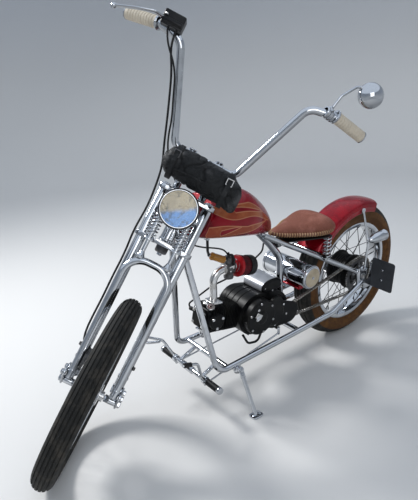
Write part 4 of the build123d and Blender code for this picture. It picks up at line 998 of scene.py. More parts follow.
    def bolt(self, centre: Point, axis: Point, across: float = 10.0, height: float = 5.0,
             washer: bool = True) -> "Form":
        """A hexagon head, with its washer, that stands on a face."""
        centre, axis = Vector(centre), Vector(axis).normalized()
        if washer:
            self.rod(centre - axis * 0.5, centre + axis * 1.2, across * 0.72, 20)
            centre += axis * 1.2
        return self.tube([centre, centre + axis * height * 0.8, centre + axis * height],
                         [across * 0.577, across * 0.577, across * 0.46], 6)

    def cap_screw(self, centre: Point, axis: Point, radius: float = 4.5, height: float = 4.5) -> "Form":
        """A round screw head with a socket."""
        profile = [(radius * 0.2, 0), (radius, 0), (radius, height * 0.85), (radius * 0.88, height),
                   (radius * 0.55, height), (radius * 0.5, height * 0.5), (0.01, height * 0.5)]
        return self.lathe(profile, centre, axis, 16)

    def object(self, name: str, matrix: Matrix, sharp: float = 32.0) -> bpy.types.Object:
        """Ends the form.

        Args:
            name: the object's name.
            matrix: from the form's millimetres to the row frame.
            sharp: the edge angle in degrees above which an edge stays sharp.

        Returns:
            The new object.
        """
        bmesh.ops.remove_doubles(self.bm, verts=self.bm.verts, dist=0.005)
        bmesh.ops.recalc_face_normals(self.bm, faces=self.bm.faces)
        mesh = bpy.data.meshes.new(name)
        self.bm.to_mesh(mesh)
        self.bm.free()
        mesh.transform(matrix)
        for polygon in mesh.polygons:
            polygon.use_smooth = True
        mesh.set_sharp_from_angle(angle=math.radians(sharp))
        made = bpy.data.objects.new(name, mesh)
        bpy.context.scene.collection.objects.link(made)
        return made


class Shop:
    """Where pieces are finished and hung on their bodies."""

    def __init__(self, palette: Palette) -> None:
        """Keeps the palette at hand."""
        self.palette = palette

    def hang(self, piece: bpy.types.Object, body: Body, finishes: Sequence[Finish],
             replaces: Sequence[str] = ()) -> bpy.types.Object:
        """Gives a piece its materials and its body.

        Args:
            piece: the piece.
            body: the body that it moves with.
            finishes: its finishes, by material number.
            replaces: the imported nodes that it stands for.

        Returns:
            The piece.
        """
        for finish in finishes:
            piece.data.materials.append(self.palette[finish])
        finishes[0].slot
        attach(piece, body.value)
        if replaces:
            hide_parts(*replaces)
        LOG.info("%s hangs on %s", piece.name, body.value)
        return piece

    def make(self, form: Form, name: str, body: Body, finishes: Sequence[Finish],
             replaces: Sequence[str] = (), sharp: float = 32.0) -> bpy.types.Object:
        """Ends a form and hangs it on its body."""
        matrix = FORK if body in (Body.STEERING, Body.FRONT_WHEEL) else CHASSIS
        return self.hang(form.object(name, matrix, sharp), body, finishes, replaces)


# Wheels


@dataclass
class Wheel:
    """A wire wheel with its tyre.

    Attributes:
        name: "front" or "rear".
        body: the body that turns with it.
        centre: the axle's middle, in the body's own millimetres.
        radius: the tyre's outer radius.
        half: half the tyre's width.
        bead_radius: where the tyre meets the rim.
        bead_half: half the rim's inner width.
        grooves: lateral places of the tread's grooves.
        groove: the width and depth of a groove.
        flange_radius: the radius of the hub's spoke flange.
        flange_y: how far the flange lies from the middle.
        tyre_finishes: the tread's and the sidewall's finish.
    """

    name: str
    body: Body
    centre: tuple
    radius: float
    half: float
    bead_radius: float
    bead_half: float
    grooves: tuple
    groove: tuple
    flange_radius: float
    flange_y: float
    tyre_finishes: tuple

    def build(self, shop: Shop) -> None:
        """Makes the tyre and the rim with its spokes."""
        self._tyre(shop)
        self._rim(shop)

    def _crown(self, lateral: float) -> float:
        """The tyre's radius at a lateral place of its crown."""
        return self.radius - self.half + math.sqrt(max(self.half ** 2 - lateral ** 2, 0.0))

    def _tread(self) -> list[tuple]:
        """The profile of the crown, with its grooves."""
        width, depth = self.groove
        crown = [-self.half * 0.97]
        for place in self.grooves:
            crown += [place + width * share for share in (-0.72, -0.45, 0.45, 0.72)]
        crown.append(self.half * 0.97)
        last = len(crown) - 1
        profile = []
        for i, lateral in enumerate(crown):
            phase = (i - 1) % 4 if 0 < i < last else 3
            profile.append((self._crown(lateral) - (depth if phase in (1, 2) else 0.0), lateral))
            if i < last and phase == 3:
                gap = crown[i + 1] - lateral
                profile += [(self._crown(lateral + gap * s), lateral + gap * s) for s in (0.33, 0.66)]
        return profile

    def _tyre(self, shop: Shop) -> None:
        """A tyre with moulded grooves, shoulders, sidewall rings and beads."""
        lip = self.bead_radius + 12
        shoulder = self.radius - self.half
        wall = [(shoulder - 1.5, self.half - 0.3)]
        for share, relief in ((0.80, 0.9), (0.76, 0.0), (0.48, 0.6), (0.44, 1.4), (0.40, 0.6), (0.16, 0.2)):
            bulge = (self.half - self.bead_half) * share
            wall.append((lip + (shoulder - lip) * share, self.bead_half + bulge + relief))
        wall += [(lip + 1.5, self.bead_half + 1.6), (lip, self.bead_half + 0.8),
                 (self.bead_radius + 2, self.bead_half - 0.5)]
        profile = [(r, -y) for r, y in reversed(wall)] + self._tread() + wall
        form = Form().lathe(profile, self.centre, steps=144, closed=True)
        for face in form.bm.faces:
            spot = face.calc_center_median() - Vector(self.centre)
            if math.hypot(spot.x, spot.z) < self.radius - self.half * 0.62:
                face.material_index = len(self.tyre_finishes) - 1
        shop.make(form, f"{self.name}_tyre_tread", self.body, self.tyre_finishes, [f"{self.name}_tyre"], 26)

    def _rim(self, shop: Shop) -> None:
        """A rolled rim, a hub with flanges and laced spokes with nipples."""
        bead, inner = self.bead_radius, self.bead_half
        outer, well = inner + 3, bead - 13
        profile = [(bead + 10, inner + 0.6), (bead + 12.6, inner + 1), (bead + 13, outer - 0.6),
                   (bead + 11, outer), (bead + 3, outer - 0.2), (bead - 3, outer - 0.6),
                   (bead - 6, outer - 3), (well + 2, outer * 0.52), (well, outer * 0.42),
                   (well - 0.3, outer * 0.2)]
        form = Form().lathe(mirrored(profile), self.centre, steps=144, closed=True)
        self._hub(form)
        centre = Vector(self.centre)
        for side in (-1, 1):
            for i in range(18):
                at_rim = 2 * math.pi * (i + 0.25 * side) / 18
                at_hub = at_rim + math.radians(38) * (1 if i % 2 else -1)
                hub = centre + ray(at_hub, self.flange_radius, side * self.flange_y)
                rim = centre + ray(at_rim, well - 1, side * 6)
                form.tube((hub, rim), 1.55, 8)
                along = (hub - rim).normalized()
                form.tube((rim - along * 3, rim + along * 3, rim + along * 14), (3.4, 3.0, 2.3), 8)
        shop.make(form, f"{self.name}_wire_rim", self.body,
                  [Finish.CHROME, Finish.ALLOY, Finish.ENGINE_BLACK], [f"{self.name}_rim"])

    def _hub(self, form: Form) -> None:
        """The hub, made by the front and the rear wheel in their own way."""


@dataclass
class FrontWheel(Wheel):
    """The narrow front wheel, with a slim hub that carries the brake disc."""

    def _hub(self, form: Form) -> None:
        """A waisted hub, with the disc's bolts on its right."""
        waist = [(17.9, 37), (36, 36), (37, 34.5), (37, 31.5), (34, 30), (27, 28), (22, 23), (20.5, 10)]
        profile = [(8.2, 49.5), (17.9, 49.5), *mirrored(waist), (17.9, -51.9), (8.2, -51.9)]
        form.use(1).lathe(profile, self.centre, steps=64, closed=True)
        for angle in turns(6):
            form.use(0).bolt(Vector(self.centre) + ray(angle + 0.3, 27, -52), (0, -1, 0), 9, 4)


@dataclass
class RearWheel(Wheel):
    """The wide rear wheel, with a drum brake hub."""

    def _hub(self, form: Form) -> None:
        """A drum with cooling ribs and a sprocket carrier."""
        profile = [(8.2, -42), (60, -42), (60, -46), (76, -46), (84, -43), (84.5, -41), (84, -36), (78, -33)]
        for place in (-24, -12, 0, 12, 24):
            profile += [(69, place - 4), (75, place - 1.4), (75, place + 1.4), (69, place + 4)]
        profile += [(78, 33), (84, 36), (84.5, 41), (84, 43), (76, 46), (44, 47), (43, 72.9), (8.2, 72.9)]
        form.use(2).lathe(profile, self.centre, steps=96, closed=True)


# Fork, bars and frame


@dataclass
class SpringerFork:
    """The long springer fork: rear legs, rocking front legs, springs and rockers.

    Places are (ahead, left, up the steering axis) in millimetres.
    """

    leg_n: float = 54.0
    leg_y: float = 79.0
    leg_radius: float = 17.5
    leg_bottom: float = 22.0
    leg_top: float = 713.0
    front_n: float = 98.0
    front_radius: float = 12.5
    arch_top: float = 472.0
    arch_bend: float = 66.0
    spring_y: float = 48.0
    spring_low: float = 545.0
    spring_high: float = 650.0
    axle_n: float = 67.0

    def build(self, shop: Shop) -> None:
        """Makes the whole fork."""
        self._rear_legs(shop)
        self._front_legs(shop)
        self._springs(shop)
        self._rockers(shop)
        self._trees(shop)

    def _rear_legs(self, shop: Shop) -> None:
        """Two straight tubes with capped tops, welded lugs and bolts."""
        form = Form()
        for side in (-1, 1):
            foot = Vector((self.leg_n, side * self.leg_y, self.leg_bottom))
            form.use(0).rod(foot, (foot.x, foot.y, self.leg_top), self.leg_radius, 40, 2)
            form.pin(foot + Vector((0, 0, 16)), 19.5, 14.9, 32, 2)
            form.lathe([(17.6, 60), (19.2, 62), (19.2, 68), (17.6, 70)], foot, (0, 0, 1), 40, True)
            form.use(1).bolt((self.leg_n + 3, side * (self.leg_y + 17), 128), (0, side, 0), 11, 6)
        shop.make(form, "springer_rear_legs", Body.STEERING, [Finish.CHROME, Finish.IRON], ["fork_legs"])

    def _front_legs(self, shop: Shop) -> None:
        """One bent tube over the wheel, with the spring rods on its arch."""
        form = Form()
        n = self.front_n
        corners = [(n, side * self.leg_y, u)
                   for side, u in ((-1, 20), (-1, self.arch_top), (1, self.arch_top), (1, 20))]
        form.tube(bent_path(corners, self.arch_bend, 5), self.front_radius, 32)
        for side in (-1, 1):
            y = side * self.spring_y
            form.rod((n, y, self.arch_top - 14), (n, y, self.spring_high - 0.4), 7, 24)
            form.lathe([(7, -5), (13, -3), (15.5, 4), (11, 12), (8.4, 20), (7, 21)],
                       (n, y, self.arch_top + 5), (0, 0, 1), 32)
            form.rod((n, y, self.spring_low - 7), (n, y, self.spring_low), 20, 40, 1.5)
            form.rod((n, side * self.leg_y, 20), (n, side * self.leg_y, 52), 13.6, 32, 2)
        shop.make(form, "springer_front_legs", Body.STEERING, [Finish.CHROME], ["front_legs"])

    def _springs(self, shop: Shop) -> None:
        """Two coil springs round the rods, with a bright cup at each end."""
        form = Form()
        for side in (-1, 1):
            n, y, low, high = self.front_n, side * self.spring_y, self.spring_low, self.spring_high - 0.2
            form.tube(helix((n, y, low + 3), (n, y, self.spring_high - 3), 15.6, 8.5, 20), 2.7, 10)
            form.rod((n, y, low), (n, y, low + 2.5), 18.2, 36, 0.8)
            form.rod((n, y, high - 2.3), (n, y, high), 18.2, 36, 0.8)
            form.rod((n, y, low), (n, y, high), 8.6, 24)
        shop.make(form, "springer_springs", Body.STEERING, [Finish.CHROME], ["fork_springs"])

    def _rockers(self, shop: Shop) -> None:
        """Two rocker plates with their pins, and the wheel's axle."""
        form = Form()
        pins = ((self.leg_n, 38.0, 17.0), (self.front_n, 30.0, 15.0), (self.axle_n, 0.0, 19.0))
        for side in (-1, 1):
            y = side * 99.0
            form.use(0).slab(hull(pins), (0, y + 3, 0), (1, 0, 0), (0, 0, 1), 6, 1.2)
            for n, u, _ in pins[:2]:
                form.rod((n, y - side * 5, u), (n, y + side * 6, u), 9, 28, 1)
                form.bolt((n, y + side * 6, u), (0, side, 0), 15, 6)
            form.rod((self.axle_n, side * 53, 0), (self.axle_n, y, 0), 13, 32, 1)
            form.bolt((self.axle_n, y + side * 3, 0), (0, side, 0), 22, 9)
        form.use(1).pin((self.axle_n, 0, 0), 113, 7.95, 28, 1)
        shop.make(form, "springer_rockers", Body.STEERING, [Finish.CHROME, Finish.SATIN_STEEL], ["rockers"])

    def _trees(self, shop: Shop) -> None:
        """The two fork yokes, the stem, the spring perch, the lamp bracket and the risers."""
        form = Form()
        yoke = hull(((0, 0, 28), (self.leg_n, self.leg_y, 24.5), (self.leg_n, -self.leg_y, 24.5)))
        for level in (547.0, 721.0):
            form.slab(yoke, (0, 0, level - 8), (1, 0, 0), (0, 1, 0), 16, 2.5)
            for side in (-1, 1):
                form.bolt((self.leg_n + 24, side * (self.leg_y - 8), level), (1, 0, 0), 9, 5)
        for side in (-1, 1):
            form.lathe([(4, 0), (15, 0), (17, 2), (15, 6), (8, 9), (4, 9.5)],
                       (self.leg_n, side * self.leg_y, 729), (0, 0, 1), 32)
            form.rod((30, side * 48, 728), (86, side * 48, 848), 13, 32)
            form.lathe(mirrored([(12.9, -15), (17.5, -15), (19, -13)]), (86, side * 48, 848), steps=48,
                       closed=True)
            for dy in (-6, 6):
                form.bolt((98, side * 48 + dy, 862), (0.5, 0, 0.86), 8, 5)
            form.bolt((self.front_n, side * 48, self.spring_high + 10), (0, 0, 1), 16, 7)
        form.slab(hull(((30, 52, 18), (30, -52, 18))), (0, 0, 713.5), (1, 0, 0), (0, 1, 0), 15.6, 2)
        perch = hull(((self.front_n, 55, 18), (self.front_n, -55, 18), (66, 60, 10), (66, -60, 10)))
        form.slab(perch, (0, 0, self.spring_high), (1, 0, 0), (0, 1, 0), 10, 1.5)
        form.block((74, 0, 690), (10, 60, 62), bevel=2)
        form.block((114.5, 0, 721), (117, 22, 8), bevel=1.5)
        form.use(1).lathe([(10, -24), (17, -24), (21.5, -20), (22, -14), (22, -1), (20, 0), (10, 0)],
                          (0, 0, 539), (0, 0, 1), 48)
        form.rod((0, 0, 729), (0, 0, 737), 17, 36, 1.5)
        form.use(0).bolt((0, 0, 515), (0, 0, -1), 16, 8)
        form.bolt((0, 0, 737), (0, 0, 1), 20, 6)
        shop.make(form, "springer_yokes", Body.STEERING, [Finish.CHROME, Finish.IRON], ["fork_trees"])


@dataclass
class Headlamp:
    """The round headlamp, with its bucket, rim, reflector, bulb and glass; places as in the fork."""

    n: float = 191.0
    u: float = 666.0

    def build(self, shop: Shop) -> None:
        """Makes the lamp."""
        centre, ahead = Vector((self.n, 0, self.u)), (1, 0, 0)
        form = Form()
        bucket = [(0.01, -62), (14, -60.5), (30, -55), (44, -46), (53, -35), (58, -22), (60.5, -8), (62, -6)]
        rim = [(60, -1), (60.8, 3), (60, 6.8), (58.8, 8.4), (57.2, 8.4), (56.1, 6.8), (55.9, 3), (56.2, -1)]
        dark_reflection_ring = [(59.6, -8), (63.6, -7), (64.4, -4), (64.2, 1), (63.4, 4), (61.4, 6.8), (59.6, 7.4)]
        bowl = [(56, 1), (54, -1), (47, -14), (37, -27), (24, -37), (10, -43), (0.01, -44)]
        form.use(0).lathe(bucket, centre, ahead, 96)
        # The rim's outer ring is gloss black: a painted dark reflection on the chrome rim.
        form.use(1).lathe(dark_reflection_ring, centre, ahead, 96, True)
        form.use(0).lathe(rim, centre, ahead, 96, True)
        form.use(2).rings([[Vector((self.n + h, r * math.cos(a), self.u + r * math.sin(a)))
                            for a in turns(96)] for r, h in bowl])
        form.use(0).rod(centre - Vector((45, 0, 0)), centre - Vector((14, 0, 0)), 6, 20, 1)
        form.ball(centre - Vector((12, 0, 0)), 7.5, (1.3, 1, 1))
        form.block(centre + Vector((-36, 0, 57)), (22, 28, 12), bevel=2)
        for side in (-1, 1):
            form.bolt(centre + Vector((-36, side * 15, 58)), (0, side, 0), 10, 5)
        shop.make(form, "headlamp_shell", Body.STEERING,
                  [Finish.CHROME, Finish.GLOSS_BLACK, Finish.REFLECTOR], ["headlight"])
        quarter = [math.pi / 2 * k / 12 for k in range(13)]
        dome = [(55.4 * math.sin(a), 4.5 + 11 * math.cos(a)) for a in quarter] + [(55.4, 2.5)]
        lens = Form().lathe(dome, centre, ahead, 96)
        glass = shop.make(lens, "headlamp_lens", Body.STEERING, [Finish.LAMP_GLASS], ["headlight_glass"])
        glass.visible_shadow = False


@dataclass
class Bars:
    """The tall handlebar with its grips, controls and mirror; places as in the fork."""

    low: tuple = (86.0, 108.0, 848.0)
    bend: tuple = (200.0, 218.0, 1120.0)
    inner: tuple = (196.0, 302.0, 1136.0)
    outer: tuple = (140.0, 415.0, 1137.0)
    bends: tuple = (30.0, 45.0, 40.0, 40.0, 45.0, 30.0)
    radius: float = 12.7
    mirror: tuple = (196.0, 372.0, 1246.0)

    def build(self, shop: Shop) -> None:
        """Makes the bar and everything on it."""
        left = [self.low, self.bend, self.inner, self.outer]
        line = [(n, -y, u) for n, y, u in reversed(left)] + left
        bar = Form().tube(bent_path(line, self.bends, 5), self.radius, 32)
        shop.make(bar, "tall_handlebar", Body.STEERING, [Finish.CHROME], ["handlebar"])
        self._grips(shop)
        self._brake(shop)
        self._mirror(shop)

    def _grips(self, shop: Shop) -> None:
        """Ribbed grips with a bright collar at the inner end and a cap at the outer one."""
        form = Form()
        collar = [(12.8, -4), (20, -4), (22.2, -2), (22.4, 0), (22.2, 2), (20, 4.6), (12.8, 4.6)]
        cap = [(19.2, -4), (19.6, -2), (19.2, 0), (16.5, 2.6), (10, 2.9), (16, -1)]
        for side in (-1, 1):
            start, end = (Vector((n, side * y, u)) for n, y, u in (self.inner, self.outer))
            axis, length = (end - start).normalized(), (end - start).length
            profile = [(12.75, 5), (19, 5)]
            place = 12.0
            while place < length - 12:
                profile += [(19, place), (17.2, place + 1.2), (17.2, place + 3.2), (19, place + 4.4)]
                place += 10.5
            profile += [(19, length - 6), (17, length + 1.5), (13, length + 3), (0.01, length + 3)]
            form.use(0).lathe(profile, start, axis, 40)
            form.use(1).lathe(collar, start, axis, 48, True)
            form.lathe(cap, end, axis, 48, True)
        shop.make(form, "ribbed_grips", Body.STEERING, [Finish.GRIP, Finish.CHROME], ["grips"])

    def _brake(self, shop: Shop) -> None:
        """The master cylinder with its lid, switch box and lever."""
        centre = Vector((self.inner[0] + 14, -self.inner[1] + 42, self.inner[2] + 16))
        form = Form()
        form.use(0).block(centre, (43, 69, 45), bevel=5, segments=3)
        form.block(centre + Vector((0, 0, 20)), (40, 62, 6), bevel=2)
        for dx, dy in ((-13, -24), (13, 24), (-13, 24), (13, -24)):
            form.use(1).cap_screw(centre + Vector((dx, dy, 22.5)), (0, 0, 1), 2.8, 1.4)
        form.use(0).pin(centre + Vector((19, 0, -8)), -33, 9, 28, 2)
        line = [centre + Vector(p) for p in ((16, -26, -6), (48, -52, -14), (50, -110, -34), (40, -166, -52))]
        path = bent_path(line, (20, 60), 6)
        sizes = [6.5 if i < len(path) * 0.3 else 5.6 for i in range(len(path))]
        form.use(2).tube(path, sizes, 20, flatten=0.62)
        form.ball(line[-1], 8.8)
        form.use(1).bolt(centre + Vector((22, -24, 4)), (0, 0, 1), 9, 4)
        shop.make(form, "brake_master", Body.STEERING,
                  [Finish.BLACK_METAL, Finish.SATIN_STEEL, Finish.CHROME], ["brake_control"])

    def _mirror(self, shop: Shop) -> None:
        """A round mirror on a bent stem, with the left switch housing."""
        housing = Vector(self.inner) + Vector((3, -22, -3))
        back = Vector(self.mirror)
        stem = [housing + Vector((0, 0, 12)), Vector(self.inner) + Vector((6, -12, 62)),
                back + Vector((4, -48, 6)), back - Vector((0, 8, 0))]
        shell = [(0.01, 25.5), (9, 25), (20, 20), (31, 13), (38, 5), (40, -2), (40, -11), (38.6, -13.6),
                 (36.5, -13.8), (36, -12)]
        ribs = [(12.9, -17), (17, -17), (18.5, -15), (18.5, -9), (16, -7.5), (16, -5), (18.5, -3.5)]
        form = Form()
        form.use(0).tube(bent_path(stem, (22, 22), 6), 4.5, 20)
        form.lathe(shell, back, (1, 0, 0), 64)
        form.use(2).lathe([(36.6, -12.2), (20, -12.6), (0.01, -12.8)], back, (1, 0, 0), 64)
        bar_way = Vector(self.outer) - Vector(self.inner)
        form.use(0).lathe(mirrored(ribs), housing, bar_way, 48, True)
        form.bolt(housing + Vector((0, 0, 16)), (0, 0, 1), 12, 8)
        form.use(1).cap_screw(housing + Vector((17, 6, 6)), (1, 0, 0), 3, 1.5)
        form.cap_screw(housing + Vector((17, -6, -8)), (1, 0, 0), 3, 1.5)
        shop.make(form, "round_mirror", Body.STEERING, [Finish.CHROME, Finish.IRON, Finish.MIRROR],
                  ["rear_mirror"])


@dataclass
class FrameTubes:
    """The rigid frame: head tube, backbone, seat tube, loops, stays and axle plates."""

    loop: tuple = ((990.0, 16.0, 792.0), (912.0, 133.0, 214.0), (225.0, 120.0, 218.0), (6.0, 107.0, 300.0))
    loop_bends: tuple = (55.0, 120.0)
    tube: float = 12.7
    spine: tuple = ((973.9, 0.0, 820.3), (618.0, 0.0, 700.0), (530.0, 0.0, 612.0), (455.0, 0.0, 520.0),
                    (449.0, 0.0, 214.0))
    spine_bends: tuple = (90.0, 130.0, 120.0)
    spine_radius: float = 16.0
    stay_top: tuple = (583.0, 27.0, 661.0)
    stay_end: tuple = (46.0, 104.0, 364.0)
    stay_radius: float = 11.0
    stand_pivot: tuple = (819.7, 162.0, 203.0)
    stand_axis: tuple = (0.0078, 0.9034, 0.4288)

    def build(self, shop: Shop) -> None:
        """Makes the frame's tubes with their welds."""
        for side, name in ((1, "left"), (-1, "right")):
            form = Form()
            line = [Vector((x, y * side, z)) for x, y, z in self.loop]
            form.tube(bent_path(line, self.loop_bends, 5), self.tube, 32)
            if side > 0:
                self._stand_lug(form)
            self._weld(form, line[0] + Vector((-4, 1, -26)), line[1] - line[0], self.tube)
            shop.make(form, f"loop_tube_{name}", Body.CHASSIS, [Finish.CHROME], [f"frame_loop_{name}"])
        form = Form().tube(bent_path(self.spine, self.spine_bends, 5), self.spine_radius, 36)
        foot, _, up = STANCE.steering()
        neck = foot + up * 556
        form.lathe([(17.6, 0), (25.5, 0.3), (26.5, 2), (26.5, 10), (24, 12.5), (24, 143), (26.5, 146),
                    (26.5, 154), (25.5, 155.7), (17.6, 156)], neck, up, 56, True)
        form.pin((449, 0, 214), 128, self.tube, 32)
        self._weld(form, neck + up * 92 + Vector((-27, 0, -9)), (-1, 0, -0.33), self.spine_radius)
        shop.make(form, "spine_tubes", Body.CHASSIS, [Finish.CHROME], ["frame_spine"])
        self._stays(shop)

    def _stand_lug(self, form: Form) -> None:
        """The block and the pin that carry the side stand."""
        form.block((819.7, 136, 206), (34, 16, 22), bevel=3)
        axis = (CHASSIS.to_3x3().inverted() @ Vector(self.stand_axis)).normalized()
        pivot = Vector(self.stand_pivot)
        form.rod(pivot - axis * 30, pivot - axis * 5.05, 14, 36)
        form.rod(pivot - axis * 30, pivot + axis * 9, 6, 28)
        form.rod(pivot + axis * 5.1, pivot + axis * 9.05, 9.5, 32, 0.8)

    @staticmethod
    def _weld(form: Form, centre: Vector, axis: Point, radius: float) -> None:
        """A rippled bead round a joint."""
        axis = Vector(axis).normalized()
        side = axis.orthogonal().normalized()
        other = axis.cross(side)
        bead = [centre + (side * math.cos(a) + other * math.sin(a)) * (radius + 0.8) + axis * (0.5 * (k % 2))
                for k, a in enumerate(turns(60))]
        form.tube(bead, 2.2, 8, closed=True)

    @classmethod
    def spring_seat(cls, side: int) -> Vector:
        """The middle of a saddle spring's foot, above its stay."""
        top, end = Vector(cls.stay_top), Vector(cls.stay_end)
        seat = top.lerp(end, (583 - 262) / (583 - 46))
        return Vector((seat.x, side * 89, seat.z + 15))

    def _stays(self, shop: Shop) -> None:
        """The two stays, the axle plates, the cross tube and the saddle springs' seats."""
        form = Form()
        plate = hull(((0, 330, 26), (34, 362, 16), (22, 300, 16), (4, 370, 16)))
        for side in (-1, 1):
            top, end = (Vector((x, side * y, z)) for x, y, z in (self.stay_top, self.stay_end))
            form.rod(top, end, self.stay_radius, 32)
            self._weld(form, end + (top - end).normalized() * 12, end - top, self.stay_radius)
            form.slab(plate, (0, side * 104 + 4, 0), (1, 0, 0), (0, 0, 1), 8, 1.2)
            base = self.spring_seat(side)
            form.rod(base - Vector((0, 0, 6)), base, 19, 36, 1.5)
            form.block(base - Vector((0, side * 9, 10)), (22, 26, 14), bevel=2)
        form.pin(Vector((0, 0, 330)) + ray(math.radians(32.4), 340), 70, 8, 28)
        shop.make(form, "stay_tubes", Body.CHASSIS, [Finish.CHROME], ["frame_stays"])


@dataclass
class FootGear:
    """The forward foot bar with its pegs, pedal and lever, and the side stand."""

    bar: tuple = (945.7, 0.0, 178.0)
    half: float = 190.0

    def build(self, shop: Shop) -> None:
        """Makes the bar, the controls and the stand."""
        bar = Vector(self.bar)
        form = Form()
        form.use(0).pin(bar, self.half, 10, 28, 1)
        form.pin((858, 0, 214), 124, 11, 28)
        form.pin(bar - Vector((0, 15, 0)), 35, 14, 32, 2)
        profile = [(10.2, 0), (13.4, 0), (13.6, 1)]
        place = 5.0
        while place < 70:
            profile += [(13.5, place), (12.4, place + 1), (12.4, place + 3), (13.5, place + 4)]
            place += 7.2
        profile += [(13.6, 74), (13, 77.5), (9, 78), (0.01, 78)]
        for side in (-1, 1):
            form.rod((858, side * 72, 214), bar + Vector((0, side * 72, 0)), 8, 24)
            start = bar + Vector((0, side * (self.half - 78), 0))
            form.use(1).lathe(profile, start, (0, side, 0), 40)
            end = [(13.7, 66), (14.4, 68), (14.4, 77), (13.2, 79), (0.01, 79)]
            form.use(0).lathe(end, start, (0, side, 0), 40)
        shop.make(form, "foot_bar_tubes", Body.CHASSIS, [Finish.CHROME, Finish.BLACK_RUBBER], ["foot_bar"])
        self._controls(shop, bar)
        self._stand(shop)

    @staticmethod
    def _controls(shop: Shop, bar: Vector) -> None:
        """The brake pedal's loop and the gear lever, each with its long rod."""
        form = Form()
        for side, rod_end in ((-1, (78, -84, 214)), (1, (560, 108, 240))):
            foot = bar + Vector((0, side * 96, 0))
            form.lathe(mirrored([(10.2, -9), (15, -9), (16, -7.5)]), foot, steps=36, closed=True)
            form.rod(foot - Vector((0, 0, 24)), foot, 6, 20, 1)
            form.rod(foot - Vector((0, 0, 20)), rod_end, 3.5, 16)
        loop = [Vector(p) for p in ((974, -150, 252), (1046, -172, 288), (1060, -140, 278),
                                    (1000, -134, 262))]
        lines = (((bar - Vector((0, 96, 0)), (966, -140, 236), loop[0]), 20), (loop, 12),
                 ((loop[0], loop[0] + Vector((16, 10, 8)), loop[3]), 8),
                 ((bar + Vector((0, 96, 0)), (1000, 146, 250), (1020, 152, 318), (1082, 152, 338)), (20, 22)))
        for line, bends in lines:
            form.tube(bent_path(line, bends), 5.5, 20)
        form.rod((560, 108, 236), (560, 108, 270), 6, 20, 1)
        rubber = [(5, 0), (9, 0), (9.4, 2), (8.6, 5), (9.4, 8), (8.6, 12), (9.4, 16), (8.6, 20), (9.4, 24),
                  (9, 31), (7, 33.5), (0.01, 33.5)]
        form.use(1).lathe(rubber, (1050, 152, 328), (32, 0, 10), 32)
        shop.make(form, "foot_pedal_and_lever", Body.CHASSIS, [Finish.CHROME, Finish.BLACK_RUBBER],
                  ["foot_controls"])

    @staticmethod
    def _stand(shop: Shop) -> None:
        """The side stand's leg with its foot, in the row frame's millimetres."""
        pivot = CHASSIS @ Vector(FrameTubes.stand_pivot) / MM
        foot = Vector((822, 258, 0)) + Vector(STANCE.shift)
        axis = Vector(FrameTubes.stand_axis).normalized()
        way = (foot + Vector((0, 0, 4)) - pivot).normalized()
        form = Form()
        form.rod(pivot + way * 22, foot + Vector((0, -4, 4)), 8.5, 28)
        form.lathe(mirrored([(6.1, -5), (12, -5), (13, -4)]), pivot, axis, 48, True)
        form.block(pivot + way * 21, (26, 20, 9.6), way, axis, 2)
        outline = [(26 * signed(math.cos(a), 0.45), 20 * signed(math.sin(a), 0.45))
                   for a in (math.pi * (2 * k + 1) / 32 for k in range(32))]
        form.slab(outline, foot, (1, 0, 0), (0, 1, 0), 7, 1.2)
        shop.hang(form.object("side_stand_leg", TO_METRES), Body.SIDE_STAND, [Finish.CHROME], ["side_stand"])


# Bodywork


@dataclass
class Tank:
    """The teardrop fuel tank with its flames, cap and tap."""

    # x, half width, bottom and top of each section
    sections: tuple = ((985, 84, 768, 856), (900, 108, 742, 880), (780, 114, 717, 886), (690, 104, 697, 872),
                       (610, 72, 678, 812), (560, 40, 668, 756), (530, 16, 668, 712))
    front_n: float = -50.0

    def build(self, shop: Shop) -> None:
        """Makes the tank, cut off square to the fork in front, and its fittings."""
        foot, ahead, _ = STANCE.steering()
        rings = []
        for x in (985 - 455 * (k / 40) for k in range(41)):
            half, low, high = sectioned(self.sections, x)
            middle = low + (high - low) * 0.40
            ring = []
            for angle in turns(56):
                c, s = math.cos(angle), math.sin(angle)
                y = half * signed(c, 0.82)
                z = (middle + (high - middle) * abs(s) ** 0.92 if s > 0
                     else middle - (middle - low) * abs(s) ** 0.45)
                limit = foot.x + (self.front_n - (z - foot.z) * ahead.z) / ahead.x
                if 0 <= limit - x < 26:
                    y *= 1 - 0.10 * (1 - (limit - x) / 26) ** 2
                ring.append(Vector((min(x, limit), y, z)))
            rings.append(ring)
        tank = shop.make(Form().rings(rings), "flamed_tank", Body.CHASSIS, [Finish.TANK_FLAMES],
                         ["fuel_tank"], 50)
        tank.modifiers.new("round", "SUBSURF").levels = 1
        cap = [(30, -12), (31, -8), (31, 0), (34, 1), (35, 3), (35, 12), (33.5, 14), (30, 14.5), (29, 16),
               (20, 18.5), (0.01, 19)]
        form = Form().lathe(cap, (800, 0, 880), (0, 0, 1), 64)
        for angle in turns(24):
            rib = Vector((800 + 35 * math.cos(angle), 35 * math.sin(angle), 884))
            form.rod(rib, rib + Vector((0, 0, 8)), 1.6, 8)
        form.rod((872, 36, 724), (872, 36, 748), 8, 24, 1)
        form.rod((872, 36, 732), (886, 36, 732), 4, 16, 0.8)
        shop.make(form, "tank_fittings", Body.CHASSIS, [Finish.CHROME])


